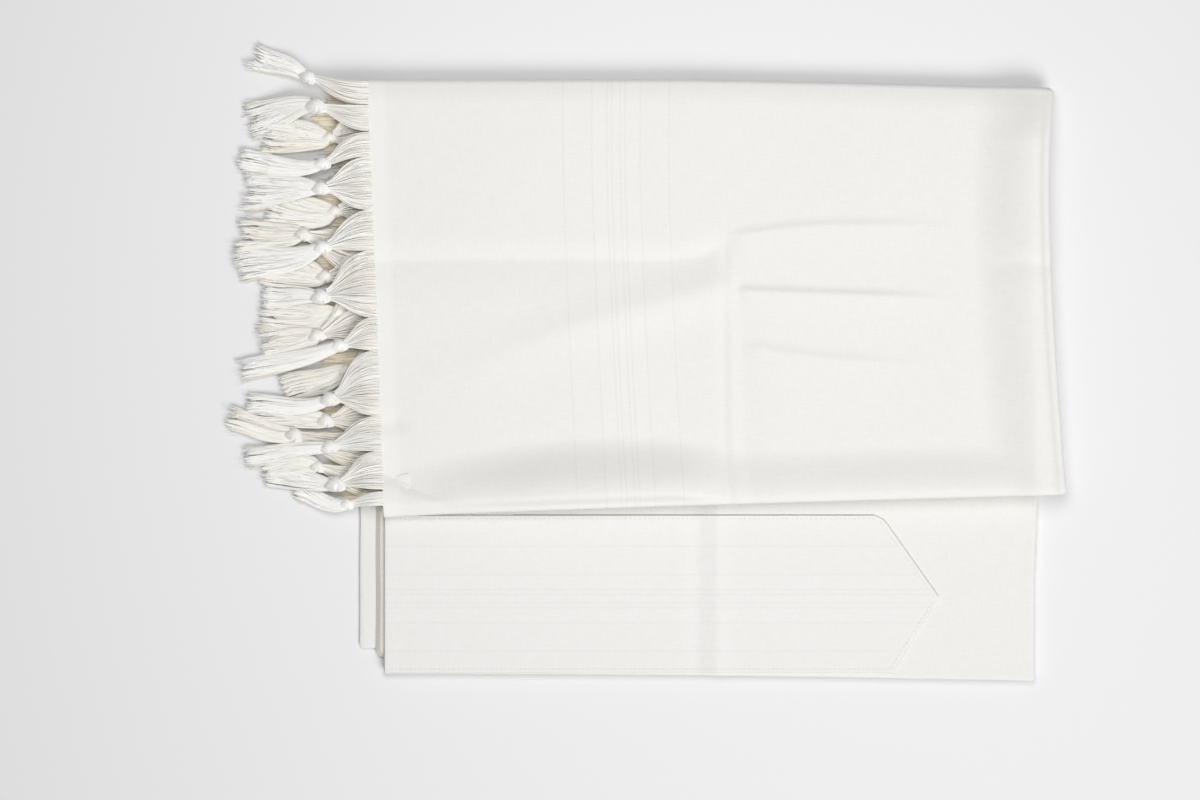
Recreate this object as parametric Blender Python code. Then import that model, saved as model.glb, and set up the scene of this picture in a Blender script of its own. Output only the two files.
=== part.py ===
"""A white wool tallit, folded flat, in Blender 4.5. Metres, +Z up, resting on Z = 0.

The shawl is one rectangle of cloth, CLOTH_LENGTH between its two knotted fringes and CLOTH_WIDTH
from the neckband's edge to the far edge. It is folded in thirds across its width, then in half and
in half again along its length, so the centre fold and both fringes come to the left. The uppermost
quarter is turned back on itself, which shows the neckband on the quarter below.

+X runs along the neckband to its pointed end, +Y from the neckband towards the fringed top panel.
The origin is under the middle of the whole outline, fringes included.
"""

import math

import bpy
from mathutils import Vector

MM = 0.001

# The cut of the cloth.
CLOTH_LENGTH = 1830 * MM
CLOTH_WIDTH = 1270 * MM
QUARTER = CLOTH_LENGTH / 4
THIRD = CLOTH_WIDTH / 3

# Walls and the clearance between pieces.
WALL = 1.1 * MM
BAND_WALL = 1.0 * MM
GAP = 0.3 * MM

# Plan of the quarter that carries the neckband.
CENTRE_FOLD_X = -180 * MM
LOWER_RIGHT_X = CENTRE_FOLD_X + QUARTER - 6 * MM
LOWER_FRONT_LEFT_Y = -215.3 * MM
LOWER_FRONT_RIGHT_Y = -220.5 * MM

# Plan of the top panel: it lies a little askew on the rest.
TOP_LEFT_BACK_X = -191 * MM
TOP_LEFT_FRONT_X = -179.5 * MM
TOP_RIGHT_X = 280 * MM
TOP_RIGHT_FLARE = 12.4 * MM
TOP_BACK_Y = LOWER_FRONT_RIGHT_Y + THIRD - 6.5 * MM
TOP_FRONT_LEFT_Y = -107 * MM
TOP_FRONT_RIGHT_Y = -91 * MM
TOP_FRONT_Y = (TOP_FRONT_LEFT_Y + TOP_FRONT_RIGHT_Y) / 2

# Heights of the pile. The centre folds are two walls each, the quarters above lie on them.
FOLD_HEIGHT = 2.3 * MM
LOWER_CORE_TOP = 2 * FOLD_HEIGHT + GAP
LOWER_TOP = LOWER_CORE_TOP + 0.7 * MM + WALL
TOP_LEVEL = 15.8 * MM
UPPER_CORE_TOP = TOP_LEVEL - WALL - 1.9 * MM
TOP_ROLL_RADIUS = 3.7 * MM
HIDDEN_STEP_Y = -72 * MM
FOLD_RIGHT_X = -172 * MM

# Wide, soft ridges of the top panel: a roll behind the front fold and one inside the right fold.
# Where they meet at the corner, the higher one counts.
FRONT_ROLL = {"inset": 12 * MM, "spread": 22 * MM, "rise": 5.5 * MM}
RIGHT_ROLL = {"inset": 11 * MM, "spread": 24 * MM, "rise": 4.8 * MM}
# Past the pile's right edge the top panel hangs free and sinks towards the ground.
OVERHANG_DROP = 5 * MM

# Soft creases left by earlier folding. Each runs from one end to the other and fades out there.
TOP_CREASES = (
    # millimetres in plan; the rise is below zero for a trough
    {"start": (-196, 70), "end": (70, 78), "spread": 20, "rise": -1.3},
    {"start": (64, 100), "end": (64, -98), "spread": 16, "rise": 0.7},
    {"start": (58, 88), "end": (225, 92), "spread": 16, "rise": 1.0},
    {"start": (60, 48), "end": (225, 43), "spread": 16, "rise": 1.0},
    {"start": (66, 12), "end": (205, -3), "spread": 16, "rise": 0.8},
    {"start": (62, 54), "end": (-196, -26), "spread": 24, "rise": 1.2},
)
LOWER_CREASES = (
    {"start": (47, 0), "end": (47, -290), "spread": 12, "rise": -0.4},
    {"start": (60, 0), "end": (60, -290), "spread": 12, "rise": 0.5},
)
# Columns of points across the lower panel, close together at its creases. The neckband shares them.
LOWER_COLUMNS = [x * MM for x in (-178.5, -120, -60, 0, 33, 40, 47, 53, 60, 67, 74, 120)]

# The neckband's outline. Its far end comes to a point, with one rounded corner.
BAND_BACK_Y = -105.6 * MM
BAND_FRONT_Y = -214.4 * MM
BAND_BACK_CORNER_X = 164.6 * MM
BAND_FRONT_CORNER_X = 173.6 * MM
BAND_POINT = (204.9 * MM, -162.5 * MM)
BAND_CORNER_DEPTH = 4 * MM

# Hidden layers, from the ground up: how far each one's edge lies inside the quarter around it.
HIDDEN_LAYERS = (
    # left inset, right inset, front inset, back inset, in millimetres
    {"left": 0.0, "right": 1.2, "front": 2.4, "back": 1.0},
    {"left": 0.4, "right": 0.2, "front": 0.8, "back": 3.2},
    {"left": 0.2, "right": 1.6, "front": 0.0, "back": 1.8},
    {"left": 2.0, "right": 2.6, "front": 0.6, "back": 0.4},
    {"left": 0.6, "right": 1.0, "front": 0.0, "back": 2.6},
    {"left": 1.4, "right": 2.2, "front": 0.9, "back": 1.4},
)
LOWER_LAYERS = 2
LAYER_GROOVE = 0.7 * MM

# Tassels of knotted warp threads. Root is where they leave the cloth, then the knot and the tip.
TOP_TASSELS = (
    # millimetres in plan: root centre and width along the edge, knot, tip and the tip's width
    {"root_y": 186.5, "root_w": 15, "knot": (-234, 198), "tip": (-269, 215), "tip_w": 13},
    {"root_y": 169.0, "root_w": 17, "knot": (-226, 179), "tip": (-272, 167), "tip_w": 15},
    {"root_y": 151.0, "root_w": 16, "knot": (-221, 138), "tip": (-278, 140), "tip_w": 11},
    {"root_y": 124.0, "root_w": 35, "knot": (-223, 121), "tip": (-273, 121), "tip_w": 18},
    {"root_y": 91.5, "root_w": 27, "knot": (-221, 79), "tip": (-280, 64), "tip_w": 16},
    {"root_y": 54.5, "root_w": 44, "knot": (-225, 46), "tip": (-263, 47), "tip_w": 11},
    {"root_y": 20.0, "root_w": 22, "knot": (-212, 12), "tip": (-278, -5), "tip_w": 11},
    {"root_y": -14.0, "root_w": 43, "knot": (-218, -25), "tip": (-274, -30), "tip_w": 11},
    {"root_y": -48.5, "root_w": 23, "knot": (-216, -56), "tip": (-276, -62), "tip_w": 10},
    {"root_y": -74.0, "root_w": 25, "knot": (-214, -84), "tip": (-258, -83), "tip_w": 11},
    {"root_y": -93.5, "root_w": 9, "knot": (-204, -99), "tip": (-240, -97), "tip_w": 9},
)
UNDER_TASSELS = (
    {"root_y": 152.0, "root_w": 22, "knot": (-220, 150), "tip": (-263, 152), "tip_w": 8},
    {"root_y": 104.0, "root_w": 20, "knot": (-214, 99), "tip": (-261, 104), "tip_w": 9},
    {"root_y": 76.0, "root_w": 20, "knot": (-232, 90), "tip": (-276, 86), "tip_w": 13},
    {"root_y": 24.0, "root_w": 22, "knot": (-226, 20), "tip": (-264, 12), "tip_w": 13},
    {"root_y": -2.0, "root_w": 20, "knot": (-208, -6), "tip": (-249, -19), "tip_w": 8},
    {"root_y": -38.0, "root_w": 22, "knot": (-227, -40), "tip": (-291.5, -40), "tip_w": 8},
    {"root_y": -64.0, "root_w": 20, "knot": (-236, -50), "tip": (-280, -50), "tip_w": 9},
    {"root_y": -86.0, "root_w": 16, "knot": (-226, -73), "tip": (-266, -73), "tip_w": 8},
)
TOP_LEVELS = {"root": 15.2 * MM, "knot": 9.4 * MM, "tip": 1.9 * MM}
UNDER_LEVELS = {"root": 8.6 * MM, "knot": 3.6 * MM, "tip": 1.9 * MM}
NECK_WIDTH = 5 * MM
KNOT_WIDTH = 7 * MM
ROOT_THICKNESS = 1.0 * MM
TIP_THICKNESS = 3.4 * MM
TASSEL_SIDES = 8

# Looks that the solids carry.
WOOL = (0.855, 0.845, 0.805, 1)
BAND_WOOL = (0.86, 0.855, 0.83, 1)
FRINGE_WOOL = (0.82, 0.80, 0.745, 1)


def clear_scene():
    for obj in list(bpy.data.objects):
        bpy.data.objects.remove(obj)


def cloth_material(name, colour):
    material = bpy.data.materials.new(name)
    material.use_nodes = True
    shader = material.node_tree.nodes["Principled BSDF"]
    shader.inputs["Base Color"].default_value = colour
    shader.inputs["Roughness"].default_value = 0.9
    shader.inputs["Metallic"].default_value = 0.0
    return material


def add_mesh(name, points, faces, material):
    mesh = bpy.data.meshes.new(name)
    mesh.from_pydata(points, [], faces)
    mesh.materials.append(material)
    obj = bpy.data.objects.new(name, mesh)
    bpy.context.collection.objects.link(obj)
    mesh.shade_smooth()
    mesh.set_sharp_from_angle(angle=math.radians(35))
    return obj


def lerp(a, b, t):
    return a + (b - a) * t


def shares(count):
    """Evenly spaced numbers from 0 to 1."""
    return [i / count for i in range(count + 1)]


def bump(distance, spread):
    """1 at distance 0, falling smoothly to 0 at the spread."""
    t = min(abs(distance) / spread, 1)
    return 0.5 + 0.5 * math.cos(math.pi * t)


def circle_arc(centre, radius, start, end, steps):
    """Points of an arc in plan, angles in degrees."""
    angles = [math.radians(lerp(start, end, i / steps)) for i in range(steps + 1)]
    return [(centre[0] + radius * math.cos(a), centre[1] + radius * math.sin(a)) for a in angles]


# Plan outlines


def top_left_x(y):
    return lerp(TOP_LEFT_BACK_X, TOP_LEFT_FRONT_X, (TOP_BACK_Y - y) / (TOP_BACK_Y - TOP_FRONT_Y))


def top_right_x(y):
    """The right fold bows in at its upper third and flares out to the front corner."""
    waist = 120 * MM
    below = max(waist - y, 0) / (waist - TOP_FRONT_RIGHT_Y)
    above = max(y - waist, 0) / (TOP_BACK_Y - waist)
    return TOP_RIGHT_X + TOP_RIGHT_FLARE * below**1.6 + 3 * MM * above**2


def top_front_y(x):
    along = (x - TOP_LEFT_FRONT_X) / (TOP_RIGHT_X + TOP_RIGHT_FLARE - TOP_LEFT_FRONT_X)
    return lerp(TOP_FRONT_LEFT_Y, TOP_FRONT_RIGHT_Y, max(along, 0) ** 0.8)


def top_back_y(x):
    """Level over the left half, then easing forward to the right corner."""
    return TOP_BACK_Y - 6 * MM * (max(x - 30 * MM, 0) / (TOP_RIGHT_X - 30 * MM)) ** 1.2


def lower_front_y(x):
    along = (x - CENTRE_FOLD_X) / (LOWER_RIGHT_X - CENTRE_FOLD_X)
    return lerp(LOWER_FRONT_LEFT_Y, LOWER_FRONT_RIGHT_Y, along**2)


def lower_right_x(y):
    return LOWER_RIGHT_X + 3 * MM * max((y + 150 * MM) / (75 * MM), 0)


def band_right_x(y):
    """The slanted edges that meet in the point, and the rounding of the back corner."""
    point_x, point_y = BAND_POINT
    if y < point_y:
        return lerp(BAND_FRONT_CORNER_X, point_x, (y - BAND_FRONT_Y) / (point_y - BAND_FRONT_Y))
    x = lerp(point_x, BAND_BACK_CORNER_X, (y - point_y) / (BAND_BACK_Y - point_y))
    near_corner = max(y - BAND_BACK_Y + BAND_CORNER_DEPTH, 0) / BAND_CORNER_DEPTH
    return x - 4 * MM * near_corner**2


# Heights of the cloth


def crease_height(x, y, creases):
    """The rise of all creases at a point in plan."""
    height = 0.0
    for crease in creases:
        start = Vector(crease["start"]) * MM
        run = Vector(crease["end"]) * MM - start
        from_start = Vector((x, y)) - start
        along = from_start.dot(run) / run.length_squared
        aside = (from_start - run * along).length
        fade = bump(2 * along - 1, 1.0) ** 0.5 if 0 < along < 1 else 0.0
        height += crease["rise"] * MM * fade * bump(aside, crease["spread"] * MM)
    return height


def top_height(x, y):
    """The top panel's upper face: its creases, and a soft roll along its front and right folds."""
    front = bump(y - top_front_y(x) - FRONT_ROLL["inset"], FRONT_ROLL["spread"])
    right = bump(top_right_x(y) - x - RIGHT_ROLL["inset"], RIGHT_ROLL["spread"])
    free = max(x - LOWER_RIGHT_X, 0) / (20 * MM)
    level = TOP_LEVEL + crease_height(x, y, TOP_CREASES) - OVERHANG_DROP * free**1.3
    return level + max(FRONT_ROLL["rise"] * front, RIGHT_ROLL["rise"] * right)


def lower_height(x, y):
    return LOWER_TOP + crease_height(x, y, LOWER_CREASES)


# Sheets with folded edges


def outward(path, index):
    """Unit normal in plan of a path that runs anticlockwise, seen from above."""
    before, after = path[max(index - 1, 0)], path[min(index + 1, len(path) - 1)]
    run = Vector((after[0] - before[0], after[1] - before[1]))
    return Vector((run.y, -run.x)).normalized()


class Sheet:
    """One skin of cloth. A Solidify modifier then gives it its wall, inwards from the outer face."""

    def __init__(self):
        self.points, self.faces = [], []

    def add_row(self, points):
        first = len(self.points)
        self.points += points
        return list(range(first, len(self.points)))

    def add_grid(self, columns, rows, place):
        """A grid of the top face. place(u, v) gives x, y and z for a column's u and a row's v."""
        grid = [self.add_row([place(u, v) for v in rows]) for u in columns]
        self.join_rows(grid)
        return grid

    def join_rows(self, rows):
        for a, b in zip(rows, rows[1:]):
            for j in range(len(a) - 1):
                self.faces.append((a[j], b[j], b[j + 1], a[j + 1]))

    def add_fold(self, rim, radius, end_angle, steps):
        """Rolls the cloth over along the rim, an anticlockwise list of points."""
        path = [self.points[k] for k in rim]
        away = [outward(path, k) for k in range(len(path))]
        rows = [rim]
        for s in range(1, steps + 1):
            angle = math.radians(end_angle) * s / steps
            reach, drop = radius * math.sin(angle), radius * (1 - math.cos(angle))
            rows.append(
                self.add_row([(x + a.x * reach, y + a.y * reach, z - drop) for (x, y, z), a in zip(path, away)])
            )
        self.join_rows(rows)

    def build(self, name, thickness, material):
        obj = add_mesh(name, self.points, self.faces, material)
        wall = obj.modifiers.new("wall", "SOLIDIFY")
        wall.thickness = thickness
        wall.offset = -1
        return obj


def shawl_panel_top(material):
    """The fringed quarter on top: folded under along its back, right and front edges."""
    r = TOP_ROLL_RADIUS
    sheet = Sheet()

    def place(u, v):
        y = lerp(TOP_FRONT_Y + r, TOP_BACK_Y - r, v)
        x = lerp(top_left_x(y), top_right_x(y) - r, u)
        y = lerp(top_front_y(x) + r, top_back_y(x) - r, v)
        return x, y, top_height(x, y)

    grid = sheet.add_grid(shares(34), shares(24), place)
    front = [column[0] for column in grid]
    right = grid[-1][1:]
    back = [column[-1] for column in reversed(grid[:-1])]
    sheet.add_fold(front + right + back, r, 180, steps=5)
    return sheet.build("shawl_panel_top", WALL, material)


def shawl_panel_lower(material):
    """The quarter below, which carries the neckband: its left edge is the centre fold."""
    r_left, r_right = FOLD_HEIGHT / 2, LOWER_TOP / 2
    right_x = LOWER_RIGHT_X - r_right
    back_y = HIDDEN_STEP_Y - GAP
    sheet = Sheet()

    def place(x, v):
        y = lerp(lower_front_y(x), back_y, v)
        if x == right_x:
            x += lower_right_x(y) - LOWER_RIGHT_X
        return x, y, lower_height(x, y)

    columns = [*LOWER_COLUMNS, 170 * MM, 220 * MM, right_x]
    grid = sheet.add_grid(columns, shares(8), place)
    sheet.add_fold(list(reversed(grid[0])), r_left, 90, steps=2)
    sheet.add_fold(grid[-1], r_right, 165, steps=5)
    return sheet.build("shawl_panel_lower", WALL, material)


def neckband(material):
    """The band sewn along the edge: the lower panel's points, moved out by the clearance."""
    sheet = Sheet()

    def place(x, y):
        last = LOWER_COLUMNS[-1]
        if x > last:
            x = lerp(last, band_right_x(y), (x - last) / (BAND_POINT[0] - last))
        return x, y, lower_height(x, y) + GAP + BAND_WALL

    columns = [*LOWER_COLUMNS, 145 * MM, 175 * MM, BAND_POINT[0]]
    rows = [lerp(BAND_FRONT_Y, BAND_POINT[1], t) for t in shares(4)]
    rows += [lerp(BAND_POINT[1], BAND_BACK_Y, t) for t in (0.25, 0.5, 0.75, 0.92, 0.96, 0.99, 1.0)]
    sheet.add_grid(columns, rows, place)
    return sheet.build("neckband", BAND_WALL, material)


def centre_fold(name, left_x, bottom, front_y, material):
    """Two walls of cloth joined by a turn at the left, drawn as a section and run along Y."""
    radius = FOLD_HEIGHT / 2
    middle = bottom + radius
    wall = radius - 0.15 * MM
    outer = circle_arc((left_x + radius, middle), radius, 90, 270, 6)
    inner = circle_arc((left_x + radius, middle), radius - wall, 270, 90, 4)
    section = [(FOLD_RIGHT_X, bottom + FOLD_HEIGHT)] + outer + [(FOLD_RIGHT_X, bottom)]
    section += [(FOLD_RIGHT_X, middle - radius + wall)] + inner + [(FOLD_RIGHT_X, middle + radius - wall)]
    n = len(section)
    back_y = TOP_BACK_Y - 8 * MM
    points = [(x, front_y, z) for x, z in section] + [(x, back_y, z) for x, z in section]
    faces = [tuple(range(n)), tuple(reversed(range(n, 2 * n)))]
    faces += [((k + 1) % n, k, k + n, (k + 1) % n + n) for k in range(n)]
    return add_mesh(name, points, faces, material)


def rounded_ring(corners, inset, z, radius=4 * MM, steps=3):
    """A ring at height z round four corners: front right, back right, back left and front left."""
    ring = []
    for k, (x, y) in enumerate(corners):
        turn = -90 + 90 * k
        inward = (-1 if k < 2 else 1, 1 if k in (0, 3) else -1)
        reach = radius + inset
        centre = (x + inward[0] * reach, y + inward[1] * reach)
        ring += [(px, py, z) for px, py in circle_arc(centre, radius, turn, turn + 90, steps)]
    return ring


def layer_corners(k):
    """Corners of a hidden layer: the two low ones reach under the neckband, the others stop behind."""
    layer = {side: inset * MM for side, inset in HIDDEN_LAYERS[k].items()}
    low = k < LOWER_LAYERS
    front = LOWER_FRONT_LEFT_Y + 1.5 * MM + layer["front"] if low else HIDDEN_STEP_Y
    right = LOWER_RIGHT_X - (5.5 * MM if low else 0) - layer["right"]
    left_front = FOLD_RIGHT_X + GAP if low else top_left_x(front) + 2 * MM + layer["left"]
    left_back = FOLD_RIGHT_X + GAP if low else top_left_x(TOP_BACK_Y) + 2 * MM + layer["left"]
    back_left = TOP_BACK_Y - 6 * MM - layer["back"]
    back_right = top_back_y(right) - 6 * MM - layer["back"]
    return (right, front), (right, back_right), (left_back, back_left), (left_front, front)


def hidden_layers(material):
    """Every layer that the outer panels hide, as one pile whose edges still show the layers."""
    rings = []
    upper_bottom = LOWER_CORE_TOP + GAP
    for k in range(len(HIDDEN_LAYERS)):
        if k < LOWER_LAYERS:
            height = LOWER_CORE_TOP / LOWER_LAYERS
            bottom = k * height
        else:
            height = (UPPER_CORE_TOP - upper_bottom) / (len(HIDDEN_LAYERS) - LOWER_LAYERS)
            bottom = upper_bottom + (k - LOWER_LAYERS) * height
        for share, groove in ((0.0, 1.0), (0.25, 0.2), (0.75, 0.2), (1.0, 1.0)):
            rings.append(rounded_ring(layer_corners(k), groove * LAYER_GROOVE, bottom + share * height))
    n = len(rings[0])
    points = [p for ring in rings for p in ring]
    faces = [tuple(reversed(range(n))), tuple(range(len(points) - n, len(points)))]
    for r in range(len(rings) - 1):
        a, b = r * n, (r + 1) * n
        faces += [(a + k, a + (k + 1) % n, b + (k + 1) % n, b + k) for k in range(n)]
    return add_mesh("hidden_layers", points, faces, material)


# Fringe


def tassel(name, row, levels, root_x, material):
    """The plain reach of one tassel: a fan of threads, a knot, and a tail that opens to the tip."""
    root = Vector((root_x - GAP, row["root_y"] * MM, levels["root"]))
    knot = Vector((row["knot"][0] * MM, row["knot"][1] * MM, levels["knot"]))
    tip = Vector((row["tip"][0] * MM, row["tip"][1] * MM, levels["tip"]))
    tail = (tip - knot).normalized()
    fan = (root - knot).normalized()
    root_w, tip_w = row["root_w"] * MM, row["tip_w"] * MM
    stations = (
        # centre, width, thickness
        (root, root_w, ROOT_THICKNESS),
        (lerp(root, knot, 0.12), root_w * 0.86, ROOT_THICKNESS * 1.3),
        (knot + fan * 6.5 * MM, NECK_WIDTH, 2.6 * MM),
        (knot + fan * 2 * MM, KNOT_WIDTH, 5.2 * MM),
        (knot + tail * 2 * MM, KNOT_WIDTH, 5.2 * MM),
        (knot + tail * 6 * MM, NECK_WIDTH, 4.0 * MM),
        (lerp(knot, tip, 0.6), lerp(NECK_WIDTH, tip_w, 0.6), 4.0 * MM),
        (tip, tip_w, TIP_THICKNESS),
    )
    along_edge = Vector((top_left_x(root.y - MM) - top_left_x(root.y), -MM, 0)).normalized()
    points, n = [], TASSEL_SIDES
    for k, (centre, width, thickness) in enumerate(stations):
        side = along_edge
        if k > 1:
            run = stations[min(k + 1, len(stations) - 1)][0] - stations[k - 1][0]
            side = Vector((-run.y, run.x, 0)).normalized()
        for s in range(n):
            a = 2 * math.pi * (s + 0.5) / n
            across = side * (math.cos(a) * width / 2)
            points.append(centre + across + Vector((0, 0, math.sin(a) * thickness / 2)))
    faces = [tuple(reversed(range(n))), tuple(range(len(points) - n, len(points)))]
    for r in range(len(stations) - 1):
        a, b = r * n, (r + 1) * n
        faces += [(a + k, a + (k + 1) % n, b + (k + 1) % n, b + k) for k in range(n)]
    return add_mesh(name, points, faces, material)


def fringe(material):
    for prefix, rows, levels, inset in (
        ("fringe_top", TOP_TASSELS, TOP_LEVELS, 0.0),
        ("fringe_under", UNDER_TASSELS, UNDER_LEVELS, -1 * MM),
    ):
        for k, row in enumerate(rows, 1):
            root_x = top_left_x(row["root_y"] * MM) - inset
            tassel(f"{prefix}_{k:02d}", row, levels, root_x, material)


def main():
    clear_scene()
    wool = cloth_material("wool", WOOL)
    band_wool = cloth_material("band_wool", BAND_WOOL)
    fringe_wool = cloth_material("fringe_wool", FRINGE_WOOL)
    hidden_layers(wool)
    centre_fold("centre_fold_outer", -196.5 * MM, 0.0, -198 * MM, wool)
    centre_fold("centre_fold_inner", -187 * MM, FOLD_HEIGHT + GAP, -204 * MM, wool)
    shawl_panel_lower(wool)
    shawl_panel_top(wool)
    neckband(band_wool)
    fringe(fringe_wool)


main()
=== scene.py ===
# %% [markdown]
# # A folded wool tallit
#
# A tallit is a prayer shawl: one long rectangle of white wool, striped in its own colour, with a
# knotted fringe on both short ends and a neckband sewn along one long edge. Here it lies folded flat,
# as it is put away. This lesson builds its looks on a frame that is already packed: plain solids that
# fix where everything is and how large. Each step covers some of those solids with cloth or yarn.
#
# The frame comes first, because the pieces are placed from its boxes.

# %% Load the frame
import math

import bpy
import numpy as np
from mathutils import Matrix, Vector


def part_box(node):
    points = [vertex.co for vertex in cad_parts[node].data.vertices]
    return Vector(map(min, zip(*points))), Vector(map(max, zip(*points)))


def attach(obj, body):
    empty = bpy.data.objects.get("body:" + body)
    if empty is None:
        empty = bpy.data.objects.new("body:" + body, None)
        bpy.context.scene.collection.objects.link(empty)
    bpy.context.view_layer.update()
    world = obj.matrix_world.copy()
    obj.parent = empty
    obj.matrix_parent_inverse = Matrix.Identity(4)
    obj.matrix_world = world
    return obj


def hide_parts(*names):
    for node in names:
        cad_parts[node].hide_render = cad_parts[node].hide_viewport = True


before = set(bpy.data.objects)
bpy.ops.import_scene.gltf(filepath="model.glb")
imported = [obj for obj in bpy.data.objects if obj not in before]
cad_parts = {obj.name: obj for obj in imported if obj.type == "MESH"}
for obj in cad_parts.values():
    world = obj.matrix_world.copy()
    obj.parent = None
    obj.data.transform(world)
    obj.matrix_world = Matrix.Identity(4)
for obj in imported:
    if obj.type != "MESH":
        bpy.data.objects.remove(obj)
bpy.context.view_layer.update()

# %% [markdown]
# ## Working in millimetres
#
# Cloth is thought about in millimetres, and the scene is in metres. So shapes are worked out in
# millimetres, and one function turns them into metres when a mesh is made.

# %% Millimetres, and the boxes that everything is placed from
MM = 0.001


def box_mm(node):
    low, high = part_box(node)
    return np.array(low) / MM, np.array(high) / MM


top_low, top_high = box_mm("shawl_panel_top")
lower_low, lower_high = box_mm("shawl_panel_lower")
print("top panel, mm:", top_low.round(1), top_high.round(1))

# %% [markdown]
# ## Where the cloth ends
#
# Folded cloth is never quite square. The fringed edge leans a little, the right fold bows in and then
# flares out to its front corner, and the front fold runs slightly uphill. A traced outline would fix
# only the cloth's rim. Each edge is a small function of the place along it instead, so the cloth, its
# stripes and its fringe all follow the same edge.

# %% Edges of the top panel and of the quarter below it
TOP_LEVEL = 15.8
LOWER_LEVEL = 6.7
WALL = 0.9
TOP_FRONT = (-107.0, -91.0)
FRINGE_EDGE = (-191.0, -179.5)
FRINGE_FRONT_Y = -99.0
RIGHT_WAIST = (280.0, 120.0)
RIGHT_FLARES = (12.4, 5.0)
BACK_FALL = 6.0
LOWER_FRONT = (-215.3, -220.3)
LOWER_RIGHT = (271.5, 274.5)


def blend(a, b, t):
    return a + (b - a) * t


def straight(place):
    """An edge that stays at one place."""
    return lambda along: place + 0 * along


def fringe_edge_x(y):
    return blend(*FRINGE_EDGE, (top_high[1] - y) / (top_high[1] - FRINGE_FRONT_Y))


def top_right_x(y):
    """The right fold: narrowest at its waist, and flared towards the front and the back."""
    waist_x, waist_y = RIGHT_WAIST
    below = np.maximum(waist_y - y, 0) / (waist_y - TOP_FRONT[1])
    above = np.maximum(y - waist_y, 0) / (top_high[1] - waist_y)
    return waist_x + RIGHT_FLARES[0] * below**1.6 + RIGHT_FLARES[1] * above**2


def top_front_y(x):
    along = np.clip((x - FRINGE_EDGE[1]) / (top_high[0] - FRINGE_EDGE[1]), 0, 1)
    return blend(*TOP_FRONT, along**0.8)


def top_back_y(x):
    return top_high[1] - BACK_FALL * (np.maximum(x - 30.0, 0) / 250.0) ** 1.2


def lower_front_y(x):
    along = np.clip((x - lower_low[0]) / (lower_high[0] - lower_low[0]), 0, 1)
    return blend(*LOWER_FRONT, along**2)


def lower_right_x(y):
    return blend(*LOWER_RIGHT, np.clip((y + 150.0) / 75.0, 0, 1))


print("fringe edge leans by", round(float(fringe_edge_x(-90.0) - fringe_edge_x(190.0)), 1), "mm")

# %% [markdown]
# ## Creases
#
# Pressed wool keeps the creases of earlier foldings. A crease isn't a groove of even depth: one side
# is steep and short, the other slopes away gently, and it fades out at its ends. So light from the
# side gives it one bright and one dark flank of unequal width.
#
# A crease could be sculpted, or made by pinning a cloth simulation. Here each one is a path with a
# rise and two flank widths, because then it lies exactly where it is wanted and can be changed by one
# number. A rise below zero makes a trough.

# %% The height that a set of creases adds
def crease(path, rise, left, right, crisp=1.0, fade=(0.2, 0.2)):
    """One crease: its path in plan, its rise, the widths of its flanks, and its fading at both ends."""
    return {"path": path, "rise": rise, "left": left, "right": right, "crisp": crisp, "fade": fade}


def ease(t):
    t = np.clip(t, 0, 1)
    return t * t * (3 - 2 * t)


def path_distance(x, y, path):
    """Signed distance from a path, positive on its left, and how far along the nearest point is."""
    points = np.array(path, float)
    runs = np.diff(points, axis=0)
    lengths = np.hypot(runs[:, 0], runs[:, 1])
    starts = np.concatenate(([0.0], np.cumsum(lengths)[:-1]))
    best = np.full(x.shape, 1e9)
    signed, along = np.zeros(x.shape), np.zeros(x.shape)
    for (px, py), (rx, ry), length, start in zip(points, runs, lengths, starts):
        t = np.clip(((x - px) * rx + (y - py) * ry) / length**2, 0, 1)
        dx, dy = x - px - rx * t, y - py - ry * t
        distance = np.hypot(dx, dy)
        side = np.where(rx * dy - ry * dx >= 0, 1.0, -1.0)
        nearer = distance < best
        best = np.where(nearer, distance, best)
        signed = np.where(nearer, side * distance, signed)
        along = np.where(nearer, (start + t * length) / lengths.sum(), along)
    return signed, along


def crease_height(x, y, creases):
    """The sum of what each crease adds, steepest at its path and level beyond its flanks."""
    height = np.zeros(x.shape)
    for c in creases:
        signed, along = path_distance(x, y, c["path"])
        width = np.where(signed >= 0, c["left"], c["right"])
        away = np.sqrt(signed**2 + c["crisp"] ** 2) - c["crisp"]
        flank = np.maximum(1 - away / width, 0) ** 2
        start, end = c["fade"]
        height += c["rise"] * flank * ease(along / start) * ease((1 - along) / end)
    return height


sample = crease([(-9, 0), (9, 0)], rise=1, left=5, right=5)
print("a crease of 1 mm is", crease_height(np.zeros(1), np.zeros(1), [sample]), "high at its middle")

# %% [markdown]
# Between its creases a cloth still isn't flat. It has long, shallow undulations, and small puckers
# from the weave relaxing. A noise texture on a displace modifier would do, but then nothing else could
# ask how high the cloth is. A few sine waves in mixed directions can be asked anywhere, and they are
# the same on every run.

# %% Slow undulations
def undulation(x, y, size, seed, waves=7):
    """Gentle waves of about size millimetres, between -1 and 1."""
    draw = np.random.default_rng(seed)
    total = np.zeros(np.broadcast(x, y).shape)
    for _ in range(waves):
        angle, phase = draw.uniform(0, math.tau, 2)
        length = size * draw.uniform(0.7, 1.6)
        total += np.sin((x * math.cos(angle) + y * math.sin(angle)) * math.tau / length + phase)
    return total / waves


wave_test = undulation(np.linspace(0, 500, 200), 0, size=110, seed=1)
print("undulation runs from", wave_test.min().round(2), "to", wave_test.max().round(2))

# %% [markdown]
# ## The top panel's own creases
#
# The quarter on top carries the marks of its folding: one sharp crease across its left half, a soft
# ridge that fans out below it, a crease along its middle, three short sharp ones that leave that
# middle crease to the right, and a small pleat at the fringed front corner. Each is one row here.

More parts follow.
